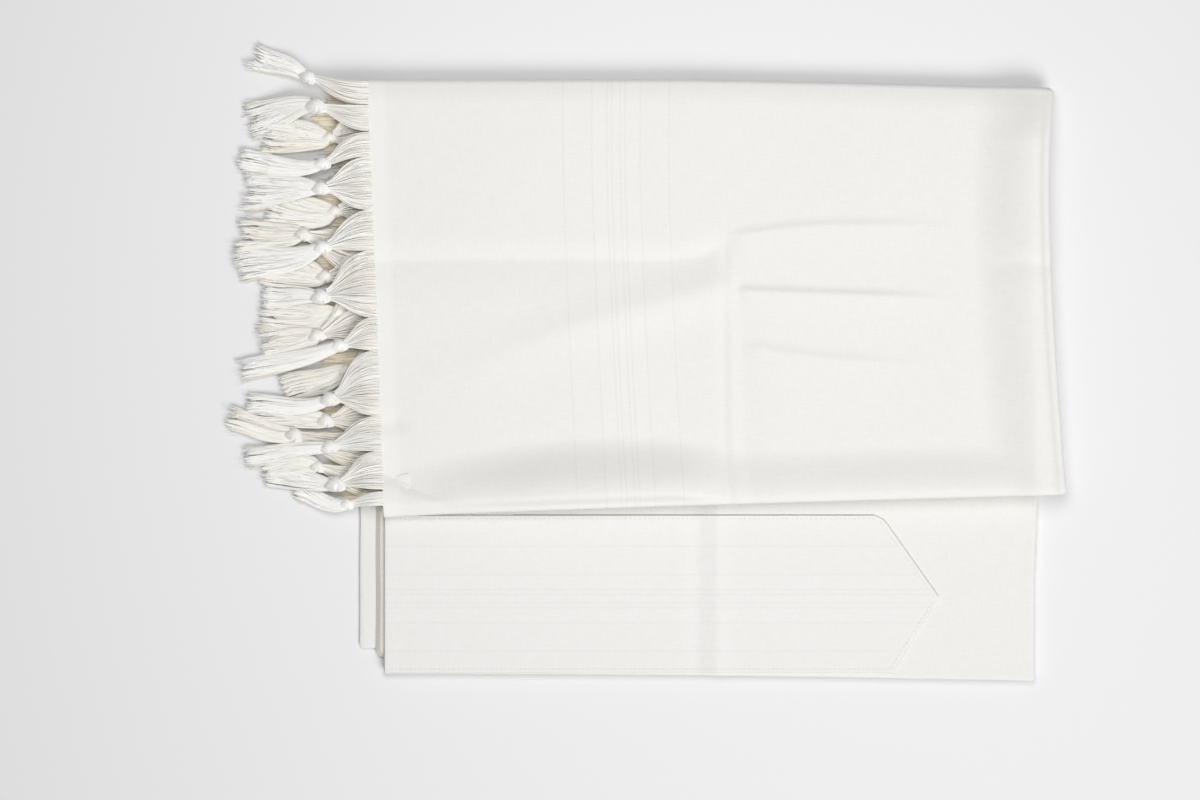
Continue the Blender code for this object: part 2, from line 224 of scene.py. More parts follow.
# %% Creases of the top panel
TOP_CREASES = [
    crease([(-196, 70), (-60, 71.5), (10, 70), (40, 73), (64, 86)], -2.1, 17, 32, fade=(0.01, 0.08)),
    crease([(66, 56), (26, 45), (-50, 24), (-113, 1), (-185, -22)], 2.3, 26, 20, crisp=6, fade=(0.05, 0.8)),
    crease([(57, 92), (56, 20), (57, -60), (60, -100)], -0.8, 5, 9, crisp=0.6, fade=(0.1, 0.01)),
    crease([(66, 92), (68, 20), (70, -60), (76, -100)], -0.9, 24, 8, crisp=2.5, fade=(0.3, 0.01)),
    crease([(58, 87), (100, 93), (130, 95), (190, 95), (225, 92)], 1.25, 6.5, 40, 0.6, fade=(0.08, 0.5)),
    crease([(62, 50), (110, 48), (170, 46), (225, 43)], 1.8, 6, 38, crisp=0.6, fade=(0.06, 0.45)),
    crease([(66, 13), (100, 6), (140, 2), (205, -3)], 1.0, 7, 38, crisp=0.9, fade=(0.12, 0.5)),
    crease([(-187, -73), (-160, -86), (-128, -99)], -2.3, 26, 8, crisp=0.4, fade=(0.02, 0.4)),
    crease([(-186, -40), (-158, -44)], -1.6, 9, 9, crisp=3, fade=(0.02, 0.6)),
    crease([(232, 70), (290, 66)], -1.2, 10, 16, crisp=2, fade=(0.5, 0.3)),
]
print(len(TOP_CREASES), "creases on the top panel")

# %% [markdown]
# ## Soft rolls along its folds
#
# The panel isn't pressed flat at its front and right folds. The cloth rises into a soft roll, with a
# long slope behind the crest and a short one down to the fold, and in light from the front the long
# slope reads as a broad shaded band. The front roll is highest left of its middle and dies away at
# both ends. Where the two rolls meet at the corner they mustn't pile up, so they are joined by a sum
# of cubes: where one is much higher it alone counts, and where they are equal the join stays smooth.
#
# Together with the creases and the undulations this is one function of the place on the panel. The
# fringe asks the same function where it has to start.

# %% The rolls, and the whole upper face of the panel
FRONT_CRESTS = (10.0, 5.5)
FRONT_RISES = (3.0, 12.8, 6.4)
FRONT_OUTER = 11.5
RIGHT_CREST, RIGHT_RISE, RIGHT_INNER, RIGHT_OUTER = 9.5, 12.6, 44.0, 14.0
RIGHT_DROOP, BACK_DROOP = 5.5, 2.9


def roll_profile(inset, crest, inner, outer):
    """A soft roll beside a fold, 1 at its crest: a long slope behind it and a short one before it."""
    behind, before = ease(1 - (inset - crest) / inner), ease(1 - (crest - inset) / outer)
    return np.where(inset >= crest, behind, before)


def front_roll(x, y):
    """The roll of the front fold: highest left of the middle, low and narrow at both ends."""
    left, middle, right = FRONT_RISES
    from_left = blend(left, middle, ease((x + 170) / 110))
    rise = np.where(x < -40, from_left, blend(middle, right, ease((x - 18) / 50)))
    behind = 40.0 * (1 - 0.30 * ((x + 30) / 118) ** 2)
    inner = np.clip(blend(behind, 31.0, ease((x - 45) / 40)), 20.0, 40.0)
    crest = blend(*FRONT_CRESTS, ease((x - 10) / 60))
    rise *= 1 + 0.05 * undulation(x, 0 * y, 120, seed=3)
    return rise * roll_profile(y - top_front_y(x), crest, inner, FRONT_OUTER)


def right_roll(x, y):
    """The roll of the right fold, which dies away towards the back."""
    share = 0.94 + 0.06 * ease((y + 70) / 60) + 0.12 * undulation(0 * x, y, 90, seed=4)
    share *= 0.35 + 0.65 * ease((top_back_y(x) - y) / 40)
    return RIGHT_RISE * share * roll_profile(top_right_x(y) - x, RIGHT_CREST, RIGHT_INNER, RIGHT_OUTER)


def top_surface(x, y):
    """Height of the top panel's upper face in millimetres."""
    rolls = np.cbrt(front_roll(x, y) ** 3 + right_roll(x, y) ** 3)
    height = TOP_LEVEL + crease_height(x, y, TOP_CREASES) + rolls
    height += 0.35 * undulation(x, y, 110, seed=1) + 0.10 * undulation(x, y, 26, seed=2)
    height -= RIGHT_DROOP * (np.maximum(x - 268.0, 0) / 20.0) ** 1.3
    return height - BACK_DROOP * np.clip(1 - (top_back_y(x) - y) / 18.0, 0, 1.4) ** 2


middle_height = top_surface(np.array([0.0]), np.array([50.0]))[0]
print("top panel is", middle_height.round(1), "mm high in the middle")

# %% [markdown]
# ## Rolling cloth over a fold
#
# Where the cloth reaches a fold it turns over and goes back under itself. A flat grid with a bevelled
# rim would look like card. So the grid carries on past the fold: the length that is past it is laid
# round a half circle, and what is left is tucked back underneath. At a corner both lengths are past
# their folds, and the same rule gives a soft rounded corner. A woven edge that isn't folded is the
# same thing with a very small radius, so it shows its thickness.
#
# This keeps each panel one continuous grid with even cloth lengths, so the weave and the stripes can
# be laid on it in real millimetres through its UV map.

# %% Stations along a grid, and the roll itself
def stations(length, step, before, after):
    """Shares of a length from 0 to 1, and how far each is past the start (below 0) or the end."""
    count = max(int(round(length / step)), 2)
    shares = [0.0] * len(before) + [i / count for i in range(count + 1)] + [1.0] * len(after)
    past = [-p for p in reversed(before)] + [0.0] * (count + 1) + list(after)
    return np.array(shares), np.array(past)


def past_fold(radius, tuck, turns=9, tucks=4):
    """Lengths past a fold, close together round its half circle and then along the tuck."""
    half_circle = math.pi * radius
    lengths = [half_circle * (i + 1) / turns for i in range(turns)]
    return lengths + [half_circle + tuck * (i + 1) / tucks for i in range(tucks)]


def roll(past_x, past_y, radius_x, radius_y):
    """How far out and down cloth goes for the lengths that are past its folds."""
    turn_x, turn_y = past_x / radius_x, past_y / radius_y
    turn = np.hypot(turn_x, turn_y)
    share_x, share_y = turn_x / np.maximum(turn, 1e-9), turn_y / np.maximum(turn, 1e-9)
    angle = np.minimum(turn, math.pi)
    reach = np.sin(angle) - np.maximum(turn - math.pi, 0)
    radius = np.hypot(share_x * radius_x, share_y * radius_y)
    return share_x * radius_x * reach, share_y * radius_y * reach, radius * (1 - np.cos(angle))


# %% [markdown]
# ## Making the meshes
#
# All the cloth is grids and all the yarn is tubes, both worked out as arrays. One helper numbers the
# faces of a grid, one those of a stack of closed rings, and one turns points and faces into a Blender
# object. Each finished object then hangs from the root body, and the solid of the frame that it stands
# for is hidden.

# %% From arrays to Blender meshes
def grid_faces(rows, columns):
    corner = np.arange(rows - 1)[:, None] * columns + np.arange(columns - 1)[None, :]
    corners = [corner, corner + columns, corner + columns + 1, corner + 1]
    return np.stack(corners, axis=-1).reshape(-1, 4)


def ring_faces(rings, sides):
    start = np.arange(rings - 1)[:, None] * sides
    side = np.arange(sides)[None, :]
    after = (side + 1) % sides
    corners = [start + side, start + sides + side, start + sides + after, start + after]
    return np.stack(corners, axis=-1).reshape(-1, 4)


def add_piece(name, points_mm, faces, material):
    """A mesh object in metres. Four-sided faces are smooth, and a cap with more sides stays flat."""
    faces = faces.tolist() if isinstance(faces, np.ndarray) else faces
    mesh = bpy.data.meshes.new(name)
    mesh.from_pydata(np.asarray(points_mm) * MM, [], faces)
    mesh.polygons.foreach_set("use_smooth", [len(face) == 4 for face in faces])
    mesh.materials.append(material)
    piece = bpy.data.objects.new(name, mesh)
    bpy.context.collection.objects.link(piece)
    print(f"{name}: {len(mesh.vertices)} vertices, {len(mesh.polygons)} faces")
    return piece


def stands_for(piece, node):
    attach(piece, "root")
    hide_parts(node)


def set_uv(piece, uv_mm):
    """Lays the cloth's own millimetres on the mesh as its UV map, one pair for each vertex."""
    mesh = piece.data
    corners = np.empty(len(mesh.loops), dtype=np.int32)
    mesh.loops.foreach_get("vertex_index", corners)
    layer = mesh.uv_layers.new(name="cloth_mm")
    layer.data.foreach_set("uv", np.asarray(uv_mm, float)[corners].ravel())


def set_shade(piece, shade):
    """One number for each vertex, 0 on the outside and 1 deep inside: how much painted shade the yarn's
    colour gets.
    """
    attribute = piece.data.attributes.new("painted_shade", "FLOAT", "POINT")
    attribute.data.foreach_set("value", np.asarray(shade, float))


# %% [markdown]
# ## Wool cloth
#
# The cloth is a fine, plain-woven wool with a soft sheen, a little creamier than pure white. Seen
# close, it has a tiny thread grid. Seen from further off, what shows is slub: threads that are a touch
# thicker or thinner for part of their length, so there are faint streaks along and across.
#
# An image of cloth would blur close up, so the pattern is all procedural. Two stretched noises give
# the slub both ways and two sine waves the thread grid. Both push the bump, and the slub also tints
# the colour by a few per cent. The sheen belongs to the shader, as wool's fine hairs catch light at a
# slant.

# %% Node helpers
def new_material(name, colour, roughness, sheen):
    material = bpy.data.materials.new(name)
    material.use_nodes = True
    shader = material.node_tree.nodes["Principled BSDF"]
    shader.inputs["Base Color"].default_value = (*colour, 1)
    shader.inputs["Roughness"].default_value = roughness
    shader.inputs["Specular IOR Level"].default_value = 0.25
    shader.inputs["Sheen Weight"].default_value = sheen
    shader.inputs["Sheen Roughness"].default_value = 0.45
    return material, material.node_tree, shader


def add_node(tree, kind, inputs=None, **settings):
    node = tree.nodes.new(kind)
    for key, value in settings.items():
        setattr(node, key, value)
    for key, value in (inputs or {}).items():
        if isinstance(value, bpy.types.NodeSocket):
            tree.links.new(value, node.inputs[key])
        else:
            node.inputs[key].default_value = value
    return node


def math_node(tree, operation, *values, clamp=False):
    inputs = dict(enumerate(values))
    return add_node(tree, "ShaderNodeMath", inputs, operation=operation, use_clamp=clamp).outputs[0]


def mix_colour(tree, share, a, b, how="MIX"):
    inputs = {0: share, 6: a, 7: b}
    return add_node(tree, "ShaderNodeMix", inputs, data_type="RGBA", blend_type=how).outputs[2]


def stretched_noise(tree, place, scale):
    """Noise over the cloth's millimetres, with its own scale along and across."""
    mapping = add_node(tree, "ShaderNodeMapping", {"Vector": place, "Scale": scale})
    inputs = {"Vector": mapping.outputs[0], "Scale": 1.0, "Detail": 3.0}
    return add_node(tree, "ShaderNodeTexNoise", inputs).outputs["Fac"]


# %% [markdown]
# ## Stripes in the cloth's own colour
#
# The stripes are woven, not printed. Thin lines, where the weave changes, stand on both sides of a
# centre line, and the strips between them are smoother satin, whose sheen is painted into the colour as
# a slightly brighter tone. All of it depends only on the distance from the centre line, so one colour
# ramp over that distance draws both sides. A painted texture could hold the lines too, but its edges
# would soften in a close view.

# %% The stripe pattern as a ramp over distance
STRIPE_LINES = (2.9, 6.3, 16.7, 36.6)
STRIPE_REACH = 60.0
LINE_WIDTH = 1.0


def stripe_ramp(tree, distance, satin_sheen):
    """0.5 on plain cloth, lower on a line, higher on a satin strip as painted sheen, for a distance in
    millimetres.
    """
    share = math_node(tree, "DIVIDE", distance, STRIPE_REACH, clamp=True)
    ramp = add_node(tree, "ShaderNodeValToRGB", {"Fac": share})
    stops = ramp.color_ramp.elements
    stops[0].position, stops[0].color = 0.0, (satin_sheen, satin_sheen, satin_sheen, 1)
    stops[1].position, stops[1].color = 1.0, (0.5, 0.5, 0.5, 1)
    between = (satin_sheen, satin_sheen, satin_sheen, 0.5 + 0.3 * (satin_sheen - 0.5), 0.5)
    for line, inside, outside in zip(STRIPE_LINES, between, between[1:]):
        for offset, value in ((-1.0, inside), (0.0, 0.0), (1.0, outside)):
            stop = stops.new((line + offset * LINE_WIDTH) / STRIPE_REACH)
            stop.color = (value, value, value, 1)
    return ramp.outputs["Color"]


# %% [markdown]
# ## The cloth's finish
#
# One function makes every woven finish: plain cloth, the striped panel and the neckband. Four hand-made
# node trees could do the same, but they would drift apart. The colour is the stripes, multiplied by
# the slub's slight shadow. The panel that the fringe hangs from has two things more: a few single
# faint lines, and a whiter strip beside its woven edge.

# %% The woven cloth as a material
FAINT_LINES = (63.0, 278.0, 367.0, 392.0, 400.0)
SLUB_SHADOW = (0.94, 0.935, 0.925, 1)
EDGE_STRIP = (9.0, 14.0)
PAINTED_SATIN_SHEEN = 0.62
THREAD = 0.62
SLUB_SCALES = ((0.09, 1.25, 1.0), (1.25, 0.09, 1.0))


def toned(colour, share):
    """A colour made lighter or darker by a share, as four channels."""
    return tuple(min(c * (1 + share), 1) for c in colour) + (1,)


def fringed_extras(tree, along, base, colour, dark):
    """Adds the faint lines and the whiter strip of the panel that the fringe hangs from."""
    for line in FAINT_LINES:
        off = math_node(tree, "ABSOLUTE", math_node(tree, "SUBTRACT", along, line))
        near = math_node(tree, "SUBTRACT", 1.0, off, clamp=True)
        base = mix_colour(tree, math_node(tree, "MULTIPLY", near, 0.35), base, dark)
    ends = {0: along, 1: EDGE_STRIP[0], 2: EDGE_STRIP[1], 3: 0.6, 4: 0.0}
    strip = add_node(tree, "ShaderNodeMapRange", ends).outputs[0]
    return mix_colour(tree, strip, base, toned(colour, 0.035))


def wool_material(name, colour, stripe_axis, stripe_centre, line_depth=0.042, fringed=False):
    """Woven wool whose stripes stand at stripe_centre along one axis of the cloth's UV map."""
    material, tree, shader = new_material(name, colour, roughness=0.82, sheen=0.18)
    uv = add_node(tree, "ShaderNodeUVMap", uv_map="cloth_mm").outputs[0]
    place = add_node(tree, "ShaderNodeSeparateXYZ", {0: uv}).outputs
    offset = math_node(tree, "SUBTRACT", place[stripe_axis], stripe_centre)
    # Satin strips come out a little brighter here: painted sheen.
    stripes = stripe_ramp(tree, math_node(tree, "ABSOLUTE", offset), PAINTED_SATIN_SHEEN)
    dark = toned(colour, -line_depth)
    striped = mix_colour(tree, stripes, dark, toned(colour, line_depth))

    slub = math_node(tree, "ADD", *(stretched_noise(tree, uv, scale) for scale in SLUB_SCALES))
    tint = math_node(tree, "MULTIPLY_ADD", slub, 1.2, -0.7, clamp=True)
    shadow = mix_colour(tree, tint, SLUB_SHADOW, (1, 1, 1, 1))
    final = mix_colour(tree, 1.0, striped, shadow, how="MULTIPLY")
    if fringed:
        final = fringed_extras(tree, place[0], final, colour, dark)
    tree.links.new(final, shader.inputs["Base Color"])

    turns = [math_node(tree, "MULTIPLY", place[axis], math.tau / THREAD) for axis in (0, 1)]
    weave = math_node(tree, "MULTIPLY", *(math_node(tree, "SINE", turn) for turn in turns))
    relief = math_node(tree, "MULTIPLY_ADD", weave, 0.10, slub)
    bump = add_node(tree, "ShaderNodeBump", {"Strength": 0.35, "Distance": 0.0004, "Height": relief})
    tree.links.new(bump.outputs[0], shader.inputs["Normal"])
    return material


WOOL = (0.915, 0.907, 0.880)
BAND_WOOL = (0.915, 0.909, 0.893)
# The inner fold's wool is darker and browner than the rest: painted shade for the shadows between its
# stacked plies.
PAINTED_SHADE_INNER_WOOL = (0.80, 0.77, 0.71)
NO_STRIPES = -900.0
top_wool = wool_material("wool_top", WOOL, stripe_axis=0, stripe_centre=170.6, fringed=True)
plain_wool = wool_material("wool_plain", WOOL, stripe_axis=0, stripe_centre=NO_STRIPES)
inner_wool_painted_shade = wool_material("wool_inner_painted_shade", PAINTED_SHADE_INNER_WOOL, stripe_axis=0, stripe_centre=NO_STRIPES)
band_wool = wool_material("wool_neckband", BAND_WOOL, stripe_axis=1, stripe_centre=51.0, line_depth=0.032)

# %% [markdown]
# ## The top panel
#
# The quarter on top is one skin of cloth. It is folded under at the back, at the right and at the
# front, and its left edge is the woven edge that the fringe hangs from. A plane with a subdivision
# modifier could be shaped the same way, but its edges wouldn't follow the edge functions. The grid is
# close enough for the sharpest crease, about 2 mm, and the turns at the folds get rows of their own.

# %% A panel of cloth on a grid
def panel(name, edges, surface, radii, tucks, step, material):
    """Cloth between four edge functions. radii and tucks are for its left, right, front and back."""
    left, right, front, back = edges
    r_left, r_right, r_front, r_back = radii
    low_y, high_y = front(0.0), back(0.0)
    low_x, high_x = left((low_y + high_y) / 2), right((low_y + high_y) / 2)
    past = [past_fold(radius, tuck) for radius, tuck in zip(radii, tucks)]
    share_x, past_x = stations(high_x - low_x, step[0], *past[:2])
    share_y, past_y = stations(high_y - low_y, step[1], *past[2:])
    share_x, share_y = np.meshgrid(share_x, share_y, indexing="ij")
    past_x, past_y = np.meshgrid(past_x, past_y, indexing="ij")

    x = blend(low_x, high_x, share_x)
    y = blend(front(x) + r_front, back(x) - r_back, share_y)
    x = blend(left(y) + r_left, right(y) - r_right, share_x)
    y = blend(front(x) + r_front, back(x) - r_back, share_y)
    radius_x = np.where(past_x < 0, r_left, r_right)
    radius_y = np.where(past_y < 0, r_front, r_back)
    out_x, out_y, drop = roll(past_x, past_y, radius_x, radius_y)
    points = np.stack([x + out_x, y + out_y, surface(x, y) - drop], axis=-1).reshape(-1, 3)
    piece = add_piece(name, points, grid_faces(*x.shape), material)
    flat = [share_x * (high_x - low_x) + past_x, share_y * (high_y - low_y) + past_y]
    set_uv(piece, np.stack(flat, axis=-1).reshape(-1, 2))
    return piece


top_panel = panel(
    "top_panel",
    (fringe_edge_x, top_right_x, top_front_y, top_back_y),
    top_surface,
    radii=(WALL / 2, 4.4, 3.5, 4.4),
    tucks=(18, 16, 18, 16),
    step=(2.1, 1.5),
    material=top_wool,
)
stands_for(top_panel, "shawl_panel_top")

# %% [markdown]
# ## The quarter below
#
# Under the turned-back flap lies the quarter that carries the neckband. Its left edge is a narrow
# fold, its right edge a wider one, and it runs on under the flap. A pair of creases crosses it from
# front to back. It is the same kind of grid as the top panel, so the same function makes it.

# %% The lower panel
UNDER_FLAP = 22.0
LOWER_CREASES = [
    crease([(53, -60), (51, -150), (52, -226)], 1.1, 13, 16, crisp=1.2, fade=(0.01, 0.01)),
    crease([(36, -60), (38, -150), (37, -226)], -0.8, 12, 12, crisp=3.0, fade=(0.01, 0.01)),
    crease([(180, -95), (215, -130), (230, -160)], -0.5, 14, 18, crisp=4.0, fade=(0.4, 0.6)),
]


def lower_surface(x, y):
    height = LOWER_LEVEL + crease_height(x, y, LOWER_CREASES)
    return height + 0.22 * undulation(x, y, 95, seed=11) + 0.06 * undulation(x, y, 22, seed=12)


lower_panel = panel(
    "lower_panel",
    (straight(lower_low[0]), lower_right_x, lower_front_y, straight(lower_high[1] + UNDER_FLAP)),
    lower_surface,
    radii=(1.1, 2.9, 1.0, 0.45),
    tucks=(6, 14, 14, 2),
    step=(2.2, 2.0),
    material=plain_wool,
)
stands_for(lower_panel, "shawl_panel_lower")

# %% [markdown]
# ## Folded edges in the pile
#
# What lies inside the pile is never seen from above, but its edges are, from the sides: each folded
# layer shows as a rounded lip, one or two threads deep, a little out of line with the next. Modelling
# every layer as a full sheet would cost much and show nothing. So each group of layers is one thin,
# closed slab, whose rim has a small half circle for each ply and a groove between them.
#
# The outline is a rounded rectangle that follows the lean of the fringed edge, with a slow wobble so
# that no two edges run quite parallel.

# %% A thin slab whose rim shows its plies
PLY_TURN = 0.44 * math.pi
WOBBLE = 0.9
OUTLINE_STEP = 5


def slab_outline(low_x, high_x, low_y, high_y, corner, seed):
    """Points round a slab, and the outward direction at each."""
    middle = np.array([low_x + high_x, low_y + high_y]) / 2
    half = np.array([high_x - low_x, high_y - low_y]) / 2
    points, outward = [], []
    for quarter, side in enumerate(((1, 1), (-1, 1), (-1, -1), (1, -1))):
        for angle in quarter * math.pi / 2 + np.linspace(0, math.pi / 2, 6):
            outward.append(np.array([math.cos(angle), math.sin(angle)]))
            points.append(middle + np.array(side) * (half - corner) + corner * outward[-1])
    dense, normals = [], []
    for k in range(len(points)):
        after = (k + 1) % len(points)
        pieces = max(int(np.hypot(*(points[after] - points[k])) / OUTLINE_STEP), 1)
        for j in range(pieces):
            dense.append(blend(points[k], points[after], j / pieces))
            normals.append(blend(outward[k], outward[after], j / pieces))
    dense, normals = np.array(dense), np.array(normals)
    dense += normals * WOBBLE * undulation(dense[:, 0], dense[:, 1], 60, seed)[:, None]
    if high_y > -90 and low_x > -183:
        left_share = np.clip((high_x - dense[:, 0]) / (high_x - low_x), 0, 1)
        dense[:, 0] += left_share * (fringe_edge_x(dense[:, 1]) - fringe_edge_x(0.0))
    return dense, normals


def folded_slab(name, box, bottom, thickness, plies, material, corner, lean=0.0, seed=0):
    """A closed slab of folded plies. lean is how much further in its top ply lies than its lowest."""
    outline, normals = slab_outline(*box, corner, seed)
    ply = thickness / plies
    cap = 0.95 * corner - lean
    rim = [(cap, 0.0)]
    for k in range(plies):
        for turn in np.linspace(-PLY_TURN, PLY_TURN, 7):
            height = ply * (k + 0.5) + ply / 2 * math.sin(turn)
            rim.append((ply / 2 * (1 - math.cos(turn)) + lean * height / thickness, height))
    rim.append((lean + cap, thickness))
    wave = 0.12 * undulation(outline[:, 0], outline[:, 1], 45, seed + 50)
    rings = []
    for inset, height in rim:
        level = bottom + height + wave * (height > 0.2)
        rings.append(np.column_stack([outline - normals * inset, level]))
    count = len(outline)
    faces = ring_faces(len(rings), count)[:, ::-1].tolist()
    faces += [list(range(count))[::-1], [(len(rings) - 1) * count + k for k in range(count)]]
    piece = add_piece(name, np.concatenate(rings), faces, material)
    turns = np.tile(np.cumsum(np.hypot(*(outline - np.roll(outline, 1, axis=0)).T)), len(rings))
    lengths = np.repeat([inset + height for inset, height in rim], count)
    set_uv(piece, np.column_stack([turns, lengths]))
    return piece


# %% The two edges of the centre fold, left of the neckband
outer_low, outer_high = box_mm("centre_fold_outer")
inner_low, inner_high = box_mm("centre_fold_inner")
INNER_START = 1.6
outer_box = (outer_low[0], outer_high[0], outer_low[1], outer_high[1])
inner_box = (inner_low[0] + INNER_START, inner_high[0], inner_low[1], inner_high[1])
fold_outer = folded_slab(
    "centre_fold_outer_cloth", outer_box, bottom=0.05, thickness=2.3, plies=2,
    material=plain_wool, corner=3.5, seed=31,
)
# The inner edge is made of the darker wool: painted shade between its plies.
fold_inner = folded_slab(
    "centre_fold_inner_cloth", inner_box, bottom=2.6, thickness=2.6, plies=4,
    material=inner_wool_painted_shade, corner=6.2, lean=3.3, seed=32,
)
stands_for(fold_outer, "centre_fold_outer")
stands_for(fold_inner, "centre_fold_inner")

# %% The layers inside the pile
PILE_LAYERS = (
    # left, right, front, back, bottom, thickness, plies
    (-170.5, 254, -210, 188, 0.05, 2.4, 2),
    (-170.0, 264, -212, 187, 2.7, 2.2, 2),
    (-178.0, 270, -68, 189, 5.2, 2.4, 2),
    (-180.5, 266, -70, 187, 7.8, 2.3, 2),
    (-181.0, 262, -84, 186, 10.3, 2.2, 2),
)
for number, (*box, bottom, thickness, plies) in enumerate(PILE_LAYERS, 1):
    name = f"pile_layer_{number}"
    layer = folded_slab(name, box, bottom, thickness, plies, plain_wool, corner=7.0, seed=40 + number)
    stands_for(layer, "hidden_layers")

# %% [markdown]
# ## The neckband
#
# The neckband is a strip of whiter, denser cloth with the same stripes along its length. Its cut
# edges are turned under and stitched down, so each edge is a fold with a stitched line just inside it.
# Its far end comes to a blunt point.
#
# A flat strip laid on top would float over the dips. So it is made from the lower panel's own surface,
# moved up by its thickness, and takes every dip of the cloth it is sewn to.

# %% The neckband's outline and surface
BAND_POINT = (204.9, -162.5)
BAND_CORNERS = (173.6, 164.6)
BAND_BACK, BAND_FRONT = -105.6, -214.2
BAND_LIFT, BAND_INSET = 1.15, 0.8
HEM_INSET = 2.3


def band_right_x(y):
    front = blend(BAND_CORNERS[0], BAND_POINT[0], (y - BAND_FRONT) / (BAND_POINT[1] - BAND_FRONT))
    back = blend(BAND_POINT[0], BAND_CORNERS[1], (y - BAND_POINT[1]) / (BAND_BACK - BAND_POINT[1]))
    rounding = np.maximum(y - BAND_BACK + 5.0, 0) / 5.0
    return np.where(y < BAND_POINT[1], front, back - 4.5 * rounding**2.2)


def band_surface(x, y):
    inset = np.minimum(np.minimum(y - BAND_FRONT, BAND_BACK - y), (band_right_x(y) - x) * 0.8)
    hem_line = np.exp(-(((inset - HEM_INSET) / 0.7) ** 2))
    pucker = 0.08 * np.sin(x * math.tau / 7.0) * np.exp(-(((inset - HEM_INSET) / 4.0) ** 2))
    return lower_surface(x, y) + BAND_LIFT - 0.22 * hem_line + pucker


neckband = panel(
    "neckband_cloth",
    (straight(lower_low[0] + BAND_INSET), band_right_x, straight(BAND_FRONT), straight(BAND_BACK)),
    band_surface,
    radii=(0.4, 0.4, 0.4, 0.4),
    tucks=(5, 5, 5, 5),
    step=(1.9, 1.1),
    material=band_wool,
)
stands_for(neckband, "neckband")

# %% [markdown]
# ## Yarn as tubes
#
# The fringe is the warp of the cloth itself: its threads run on past the last weft, are gathered in
# bunches, and each bunch is tied in an overhand knot. Hair or a curve object could draw such threads,
# but thousands of curves are slow and export badly. Here all threads of a tassel are one mesh of thin
# three- or four-sided tubes, swept along paths that are worked out together as one array.

# %% Tubes along many paths at once
def unit(vectors):
    return vectors / (np.linalg.norm(vectors, axis=-1, keepdims=True) + 1e-12)


def thread_tubes(paths, radii, sides):
    """Points, faces and normals of tubes. paths is threads x steps x 3, and radii threads x steps."""
    tangents = unit(np.gradient(paths, axis=1))
    normals = np.zeros_like(paths)
    helper = np.where(np.abs(tangents[:, 0, 2:3]) > 0.8, (1.0, 0.0, 0.0), (0.0, 0.0, 1.0))
    current = helper - tangents[:, 0] * np.sum(helper * tangents[:, 0], axis=1, keepdims=True)
    for step in range(paths.shape[1]):
        tangent = tangents[:, step]
        current = unit(current - tangent * np.sum(current * tangent, axis=1, keepdims=True))
        normals[:, step] = current
    binormals = np.cross(tangents, normals)
    angles = np.arange(sides) * math.tau / sides
    ring = normals[:, :, None] * np.cos(angles)[:, None]
    ring = ring + binormals[:, :, None] * np.sin(angles)[:, None]
    points = (paths[:, :, None] + ring * radii[:, :, None, None]).reshape(-1, 3)
    threads, steps = paths.shape[:2]
    start = (np.arange(threads)[:, None, None] * steps + np.arange(steps - 1)[None, :, None]) * sides
    side = np.arange(sides)[None, None, :]
    after = (side + 1) % sides
    faces = np.stack([start + side, start + after, start + sides + after, start + sides + side], axis=-1)
    return points, faces.reshape(-1, 4), ring.reshape(-1, 3)


def bezier(p0, p1, p2, p3, steps):
    """Points on cubic curves. Each p is threads x 3."""
    t = np.linspace(0, 1, steps)[None, :, None]
    a, b, c, d = (p[:, None, :] for p in (p0, p1, p2, p3))
    return a * (1 - t) ** 3 + b * 3 * t * (1 - t) ** 2 + c * 3 * t**2 * (1 - t) + d * t**3


# %% [markdown]
# ## Stitches
#
# The neckband is sewn down with a running stitch just inside its edges. A line drawn in the material
# would vanish from the side, so each stitch is a short bent tube that dips into the cloth at both ends.

# %% Sew the neckband down
STITCH, STITCH_GAP, STITCH_RADIUS, STITCH_LIFT = 2.3, 1.0, 0.17, 0.12


def stitch_line(start, end):
    """Paths of the stitches between two points of the neckband, four points each."""
    start, end = np.array(start, float), np.array(end, float)
    length = np.hypot(*(end - start))
    count = int(length / (STITCH + STITCH_GAP))
    ahead = (end - start) / length
    first = start + ahead * (np.arange(count) + 0.15)[:, None] * (STITCH + STITCH_GAP)
    path = first[:, None] + ahead * (np.array([0.0, 0.25, 0.75, 1.0]) * STITCH)[:, None]
    lift = STITCH_LIFT * np.array([-1, 1, 1, -1])
    return np.concatenate([path, (band_surface(path[..., 0], path[..., 1]) + lift)[..., None]], axis=-1)


point = np.array(BAND_POINT)
inset = HEM_INSET
seams = (
    ((lower_low[0] + 4, BAND_FRONT + inset), (BAND_CORNERS[0] - inset, BAND_FRONT + inset)),
    ((BAND_CORNERS[0] - inset * 1.2, BAND_FRONT + inset), (point[0] - inset * 1.3, point[1])),
    ((point[0] - inset * 1.3, point[1]), (BAND_CORNERS[1] - inset * 0.9, BAND_BACK - inset)),
    ((lower_low[0] + 4, BAND_BACK - inset), (BAND_CORNERS[1] - inset, BAND_BACK - inset)),
)
sewing_thread = new_material("sewing_thread", (0.76, 0.74, 0.69), roughness=0.85, sheen=0.1)[0]
paths = np.concatenate([stitch_line(*seam) for seam in seams])
tube_points, tube_faces, _ = thread_tubes(paths, np.full(paths.shape[:2], STITCH_RADIUS), 5)
stitches = add_piece("neckband_stitches", tube_points, tube_faces, sewing_thread)
set_uv(stitches, tube_points[:, :2])
stands_for(stitches, "neckband")
print(len(paths), "stitches")
